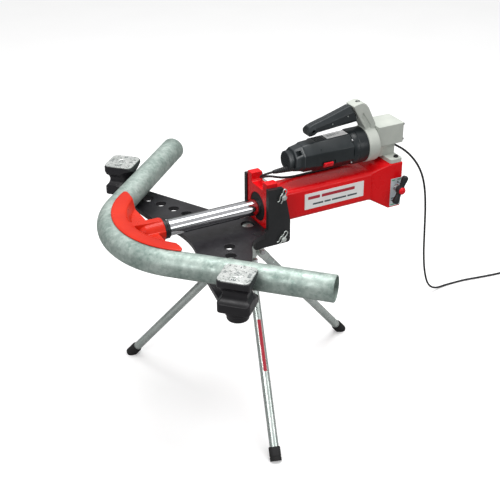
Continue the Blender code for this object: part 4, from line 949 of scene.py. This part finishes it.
def build_leg(index, place, slope, length):
    tilt = Matrix.Rotation(slope, 4, "Y")
    body = f"leg_{index}"
    profile = arc((0, 0), 10, 90, 270, 12) + [(34, -10), (34, 10)]
    fork = prism([(x + 0.9 if x < 0 else x, z) for x, z in profile], -11, 11, "XZ")
    slot = slab((-50, -4.3, -50), (13.5, 4.3, 50))
    drill = rod(4.3, -20, 20, axis=Y, sides=24)
    fork = combine(fork, slot, drill)
    move(fork, place @ tilt)
    piece(f"fork_{index}", fork, ZINC, "zinc", f"leg_fork_{index}", body=body, bevel=0.7, limit=50)

    leg = rev([(34.3, 9.5), (34.3, 11), (60, 11), (60.6, 10.6), (61.4, 10.6), (62, 11), (length - 10, 11),
               (length - 10, 9.5)], sides=48, closed=True)
    move(leg, place @ tilt)
    piece(f"tube_{index}", leg, LEG_ZINC, "zinc", f"leg_tube_{index}", body=body)

    if index == 1:
        stripe = prism(arc((0, 0), 11.16, 66, 114, 12) + arc((0, 0), 11.03, 114, 66, 12), 145, 270, "YZ")
        move(stripe, place @ tilt)
        piece("leg_stripe", stripe, INK_RED, "label", body=body, sharp=60)

    end = length + 6
    cap = rev([(end, 0), (end, 14), (end - 8, 14), (end - 9, 13.2), (end - 10.5, 13.2), (end - 11.5, 14),
               (end - 31, 14), (end - 33.4, 13.2), (end - 34, 11.8), (end - 34, 11.3), (length - 9.7, 11.3),
               (length - 9.7, 0)], sides=48)
    move(cap, place @ tilt)
    ground = slab((-900, -900, FLOOR - 60), (900, 900, FLOOR))
    piece(f"rubber_foot_{index}", combine(cap, ground), RUBBER, "rubber", f"foot_{index}", body=body)

    bolt = rev([(-17.3, 0), (-17.3, 6.6), (-16.3, 7.2), (-11.3, 7.2), (-11.3, 4), (11.3, 4), (11.3, 7.2),
                (16.3, 7.2), (17.3, 6.6), (17.3, 0)], axis=Y, sides=6)
    move(bolt, place)
    piece(f"hinge_bolt_{index}", bolt, STEEL, "steel", f"leg_bolt_{index}", body=body)


# ---- Motor, pump and carrying handle ---------------------
MOTOR_Z = 105.0
MOTOR_AXIS = (0, 0, MOTOR_Z)
CORD_EXIT = (0, -12, 88)
PUMP_BACK = 468.7


def octagon(flat, corner, x, steps=4):
    """An octagon with rounded corners and a flat on top, across the motor's axis."""
    reach = (flat - corner) / cos(pi / 8)
    spots = []
    for k in range(8):
        middle = radians(22.5 + 45 * k)
        cy, cz = reach * cos(middle), reach * sin(middle)
        for n in range(steps + 1):
            a = middle + radians(-22.5 + 45 * n / steps)
            spots.append((x, cy + corner * cos(a), MOTOR_Z + cz + corner * sin(a)))
    return spots


def build_motor():
    shell = loft([octagon(f, c, x) for x, f, c in ((262.0, 33.0, 6), (266.0, 35.0, 6), (290.0, 36.0, 6),
                                                   (293.0, 38.0, 5), (394.5, 40.2, 5))])
    tools = [rod(31, 250, 410, centre=MOTOR_AXIS, sides=72)]
    for k in range(5):
        low = 300.0 + 5.5 * k
        tools.append(slab((low, -14, MOTOR_Z + 36.5), (low + 2.6, 14, MOTOR_Z + 60)))
    tools.append(slab((303, -46, MOTOR_Z - 23.5), (343, -35.8, MOTOR_Z - 7.5)))
    shell = combine(shell, *tools)
    piece("motor_shell", shell, PLASTIC, "black_plastic", "motor_housing", bevel=0.6, limit=40)
    band = rev([(395, 31), (395, 42.4), (401, 45.4), (408, 45.4), (408.8, 44.6), (410.2, 44.6), (411, 45.4),
                (429, 45.4), (436.5, 44.6), (436.9, 43.5), (436.9, 31), (413, 31), (413, 4.4), (405, 4.4),
                (405, 31)], centre=MOTOR_AXIS, sides=96, closed=True)
    piece("motor_band", band, PLASTIC, "black_plastic", "motor_ring", sharp=35)
    for k in range(4):
        a = radians(45 + 90 * k)
        y, z = 38.5 * cos(a), 38.5 * sin(a)
        head = rod(3.6, 391.5, 394.9, centre=(0, y * 1.06, MOTOR_Z + z * 1.06), sides=20)
        piece(f"motor_screw_{k}", head, STEEL, "steel")

    sections = [octagon(f, c, x) for x, f, c in ((237.0, 26.0, 7), (239.0, 28.5, 7), (257.0, 31.5, 7),
                                                 (261.6, 33.0, 6))]
    block = loft(sections)
    grille = rev([(222, 0), (222, 21.5), (223.5, 23.5), (229, 24), (230, 22.5), (238, 22.5), (238, 0)],
                 centre=MOTOR_AXIS, sides=64)
    block = combine(block, grille, operation="UNION")
    tools = [rod(4.4, 226, 270, centre=MOTOR_AXIS, sides=32),
             rev([(236, 0), (236, 22), (258, 26), (270, 27), (270, 0)], centre=MOTOR_AXIS, sides=48),
             rod(9.1, 100, 240.3, centre=CORD_EXIT, sides=40)]
    for k in range(9):
        z = MOTOR_Z - 16 + 4 * k
        wide = sqrt(max(0.0, 19.0 ** 2 - (z - MOTOR_Z) ** 2))
        if wide > 6:
            tools.append(slab((215, -wide, z - 1.0), (224.5, wide, z + 1.0)))
    for sign in (-1, 1):
        panel = slab((243, -6, -9), (256, 6, 9))
        turn = Matrix.Translation((0, 0, MOTOR_Z)) @ Matrix.Rotation(radians(45 * sign), 4, "X")
        move(panel, turn @ Matrix.Translation((0, 0, 35.4)))
        tools.append(panel)
    block = combine(block, *tools)
    piece("motor_end_housing", block, PLASTIC, "black_plastic", "motor_rear_cover", bevel=0.5, limit=40)

    label = prism(rounded(60, 24, 1.5, 4, (362, 0)), MOTOR_Z + 39.75, MOTOR_Z + 40.35, "XY")
    middle = Matrix.Translation((362, 0, MOTOR_Z + 40))
    slope = middle @ Matrix.Rotation(-atan2(2.2, 101.5), 4, "Y") @ middle.inverted()
    move(label, slope)
    piece("rating_label", label, WHITE_FILM, "label", bevel=0.15, segments=1)
    lines = bmesh.new()
    for y, x0, x1 in ((6.5, 338, 380), (3.5, 338, 366), (0.5, 338, 374), (-2.5, 338, 360)):
        slab((x0, y - 0.45, MOTOR_Z + 40.33), (x1, y + 0.45, MOTOR_Z + 40.5), bm=lines)
    move(lines, slope)
    piece("rating_lines", lines, INK_GREY, "label", sharp=40)

    switch = slab((-13, -5.5, 0), (13, 5.5, 4.6))
    ribs = bmesh.new()
    for k in range(5):
        slab((-6 + 3 * k - 0.5, -8, 4.0), (-6 + 3 * k + 0.5, 8, 6.0), bm=ribs)
    switch = combine(switch, ribs)
    facet = radians(-157.5)
    normal = Vector((0, cos(facet), sin(facet)))
    across = Vector((0, -normal.z, normal.y))
    turn = Matrix(((1, 0, 0), (0, across.y, normal.y), (0, across.z, normal.z))).to_4x4()
    low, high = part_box("slide_switch")
    middle = ((Vector(low) + Vector(high)) / 2 - ORIGIN) / MM - normal * 2.3
    move(switch, Matrix.Translation(middle) @ turn)
    piece("switch_slider", switch, RED_PLASTIC, "red_plastic", "slide_switch", body="motor_switch",
          bevel=0.35, limit=40)

    profile = [(0, 0), (0, 4.2), (0.6, 4.7), (5, 5.0)]
    for k in range(6):
        x = 8 + 5.6 * k
        r = 5.1 + 0.072 * x
        profile += [(x, r), (x + 0.8, r - 1.0), (x + 2.0, r - 1.0), (x + 2.8, r + 0.15)]
    profile += [(43, 8.2), (56.4, 8.8), (57, 8.4), (57, 0)]
    piece("cable_sleeve", rev(profile, centre=(183, -12, 88), sides=48), SOFT_BLACK, "rubber",
          "strain_relief", sharp=35)


def build_pump():
    base = prism(rounded(36, 118, 7, 8, (510, 0)), 61.3, 71.3)
    base = combine(base, prism(rounded(50, 52, 6, 8, (505, 4)), 69, 100.7), operation="UNION")
    tools = [rod(6.4, 65.3, 110, axis=Z, centre=(489, 0, 0), sides=32),
             slab((459, -13, 93.8), (493, 13, 125))]
    for y in (-46, 46):
        tools.append(rod(6.6, 65.3, 110, axis=Z, centre=(516, y, 0), sides=32))
    base = combine(base, *tools)
    piece("pump_foot", base, CAST, "cast_grey", "pump_base", bevel=1.2, segments=3, limit=50)
    for index, y in ((1, -46), (2, 46)):
        screw = rev([(65.6, 0), (65.6, 5.9), (74.6, 5.9), (75.6, 5.0), (75.6, 3.1), (71, 3.1), (71, 0)],
                    axis=Z, centre=(516, y, 0), sides=32)
        piece(f"socket_screw_{index}", screw, EAR_BLACK, "black_steel", f"base_screw_{index}")

    housing = prism(rounded(76, 70, 5, 8, (507, 1)), 101, 154)
    recess = slab((459, -24, 90), (525, 24, 144))
    housing = combine(housing, recess)
    piece("gear_housing", housing, CAST, "cast_grey", "pump_housing", bevel=2.0, segments=4, limit=50)
    for index, (y, z) in enumerate(((-28, 148), (30, 148), (-28, 108), (30, 108))):
        head = rev([(544.8, 0), (544.8, 3.4), (547.0, 3.4), (547.6, 2.8), (547.6, 1.6), (546.4, 1.6),
                    (546.4, 0)], centre=(0, y, z), sides=24)
        piece(f"cover_screw_{index}", head, EAR_BLACK, "black_steel")

    outline = [(402, 214.8), (406, 217.0), (424, 220.6), (430, 220.2), (439, 215.6), (447, 205),
               (PUMP_BACK, 160), (PUMP_BACK, 142), (438.6, 142), (438.6, 152.5), (436, 156), (425, 174)]
    waist = []
    for side in (-1, 1):
        faces = sorted((side * 14.5, side * 30))
        waist.append(prism([(430, 196), (450, 165), (455, 158), (455, 150), (446, 150), (427, 182)],
                           *faces, "XZ"))
    arm = combine(prism(outline, -18, 18, "XZ"), *waist)
    collar = ring(20, 46.3, 437.5, PUMP_BACK, centre=MOTOR_AXIS, sides=96)
    body = combine(arm, collar, operation="UNION")
    mouth = rod(30, 420, 480, centre=MOTOR_AXIS, sides=72)
    body = combine(body, mouth)
    body = cast(body, 1.1, 5, keep=0.4)
    piece("pump_yoke", body, CAST, "cast_grey", "pump_collar", sharp=75)
    screw = rev([(219.4, 0), (219.4, 6.2), (221.0, 6.0), (221.6, 5.2), (221.6, 3.2), (220.2, 3.2),
                 (220.2, 0)], axis=Z, centre=(424.5, 0, -0.6), sides=32)
    piece("yoke_screw", screw, EAR_BLACK, "black_steel")


GRIP_SCREWS = ((345, 181), (388, 193))


def grip_section(x, low, high, lean, side, half=16.9, inner=0.15):
    """Half of the grip's faceted section at x, on one side of the split line."""
    tall = high - low
    spots = [(x - lean, inner, high), (x - lean * 0.98, half * 0.52, high),
             (x - lean * 0.55, half, high - 0.36 * tall), (x + lean * 0.2, half, low + 0.20 * tall),
             (x + lean * 0.3, half * 0.72, low), (x + lean * 0.3, inner, low)]
    return [(a, side * b, c) for a, b, c in spots]


def build_handle():
    stations = ((279.5, 161.0, 177.0, 0.5), (283.0, 158.5, 182.0, 1.0), (296.0, 160.0, 186.5, 1.5),
                (303.0, 165.0, 188.5, 1.2), (330.0, 167.0, 195.5, 1.0), (365.0, 169.8, 205.5, 2.0),
                (404.0, 172.5, 215.5, 8.0), (412.0, 173.3, 214.5, 12.0))
    for name, side in (("near", -1), ("far", 1)):
        shell = loft([grip_section(x, low, high, lean, side) for x, low, high, lean in stations])
        if side < 0:
            holes = [rod(2.5, -30, -13.5, axis=Y, centre=(x, 0, z), sides=24) for x, z in GRIP_SCREWS]
            holes.append(rod(2.8, -30, -13.0, axis=Y, centre=(292, 0, 172), sides=24))
            shell = combine(shell, *holes)
        piece(f"grip_{name}", shell, PLASTIC, "black_plastic", f"handle_shell_{name}", bevel=1.3,
              segments=3, limit=18)
    for index, (x, z) in enumerate(GRIP_SCREWS):
        screw = rev([(-16.2, 0), (-16.2, 1.6), (-13.6, 2.1), (-13.6, 0)], axis=Y, centre=(x, 0, z), sides=24)
        piece(f"grip_screw_{index}", screw, ZINC, "zinc")


build_studio()
build_cord()
build_pipe()
build_former()
build_ram()
build_cylinder()
build_valve()
build_frame()
build_support("near", -1)
build_support("far", 1)
build_tripod()
build_motor()
build_pump()
build_handle()
for node, mat in {"piston": STEEL, "stator": STEEL, "rotor": COPPER, "cooling_fan": PLASTIC,
                  "eccentric_cam": STEEL,
                  "pump_plunger": STEEL}.items():
    dress(node, mat)
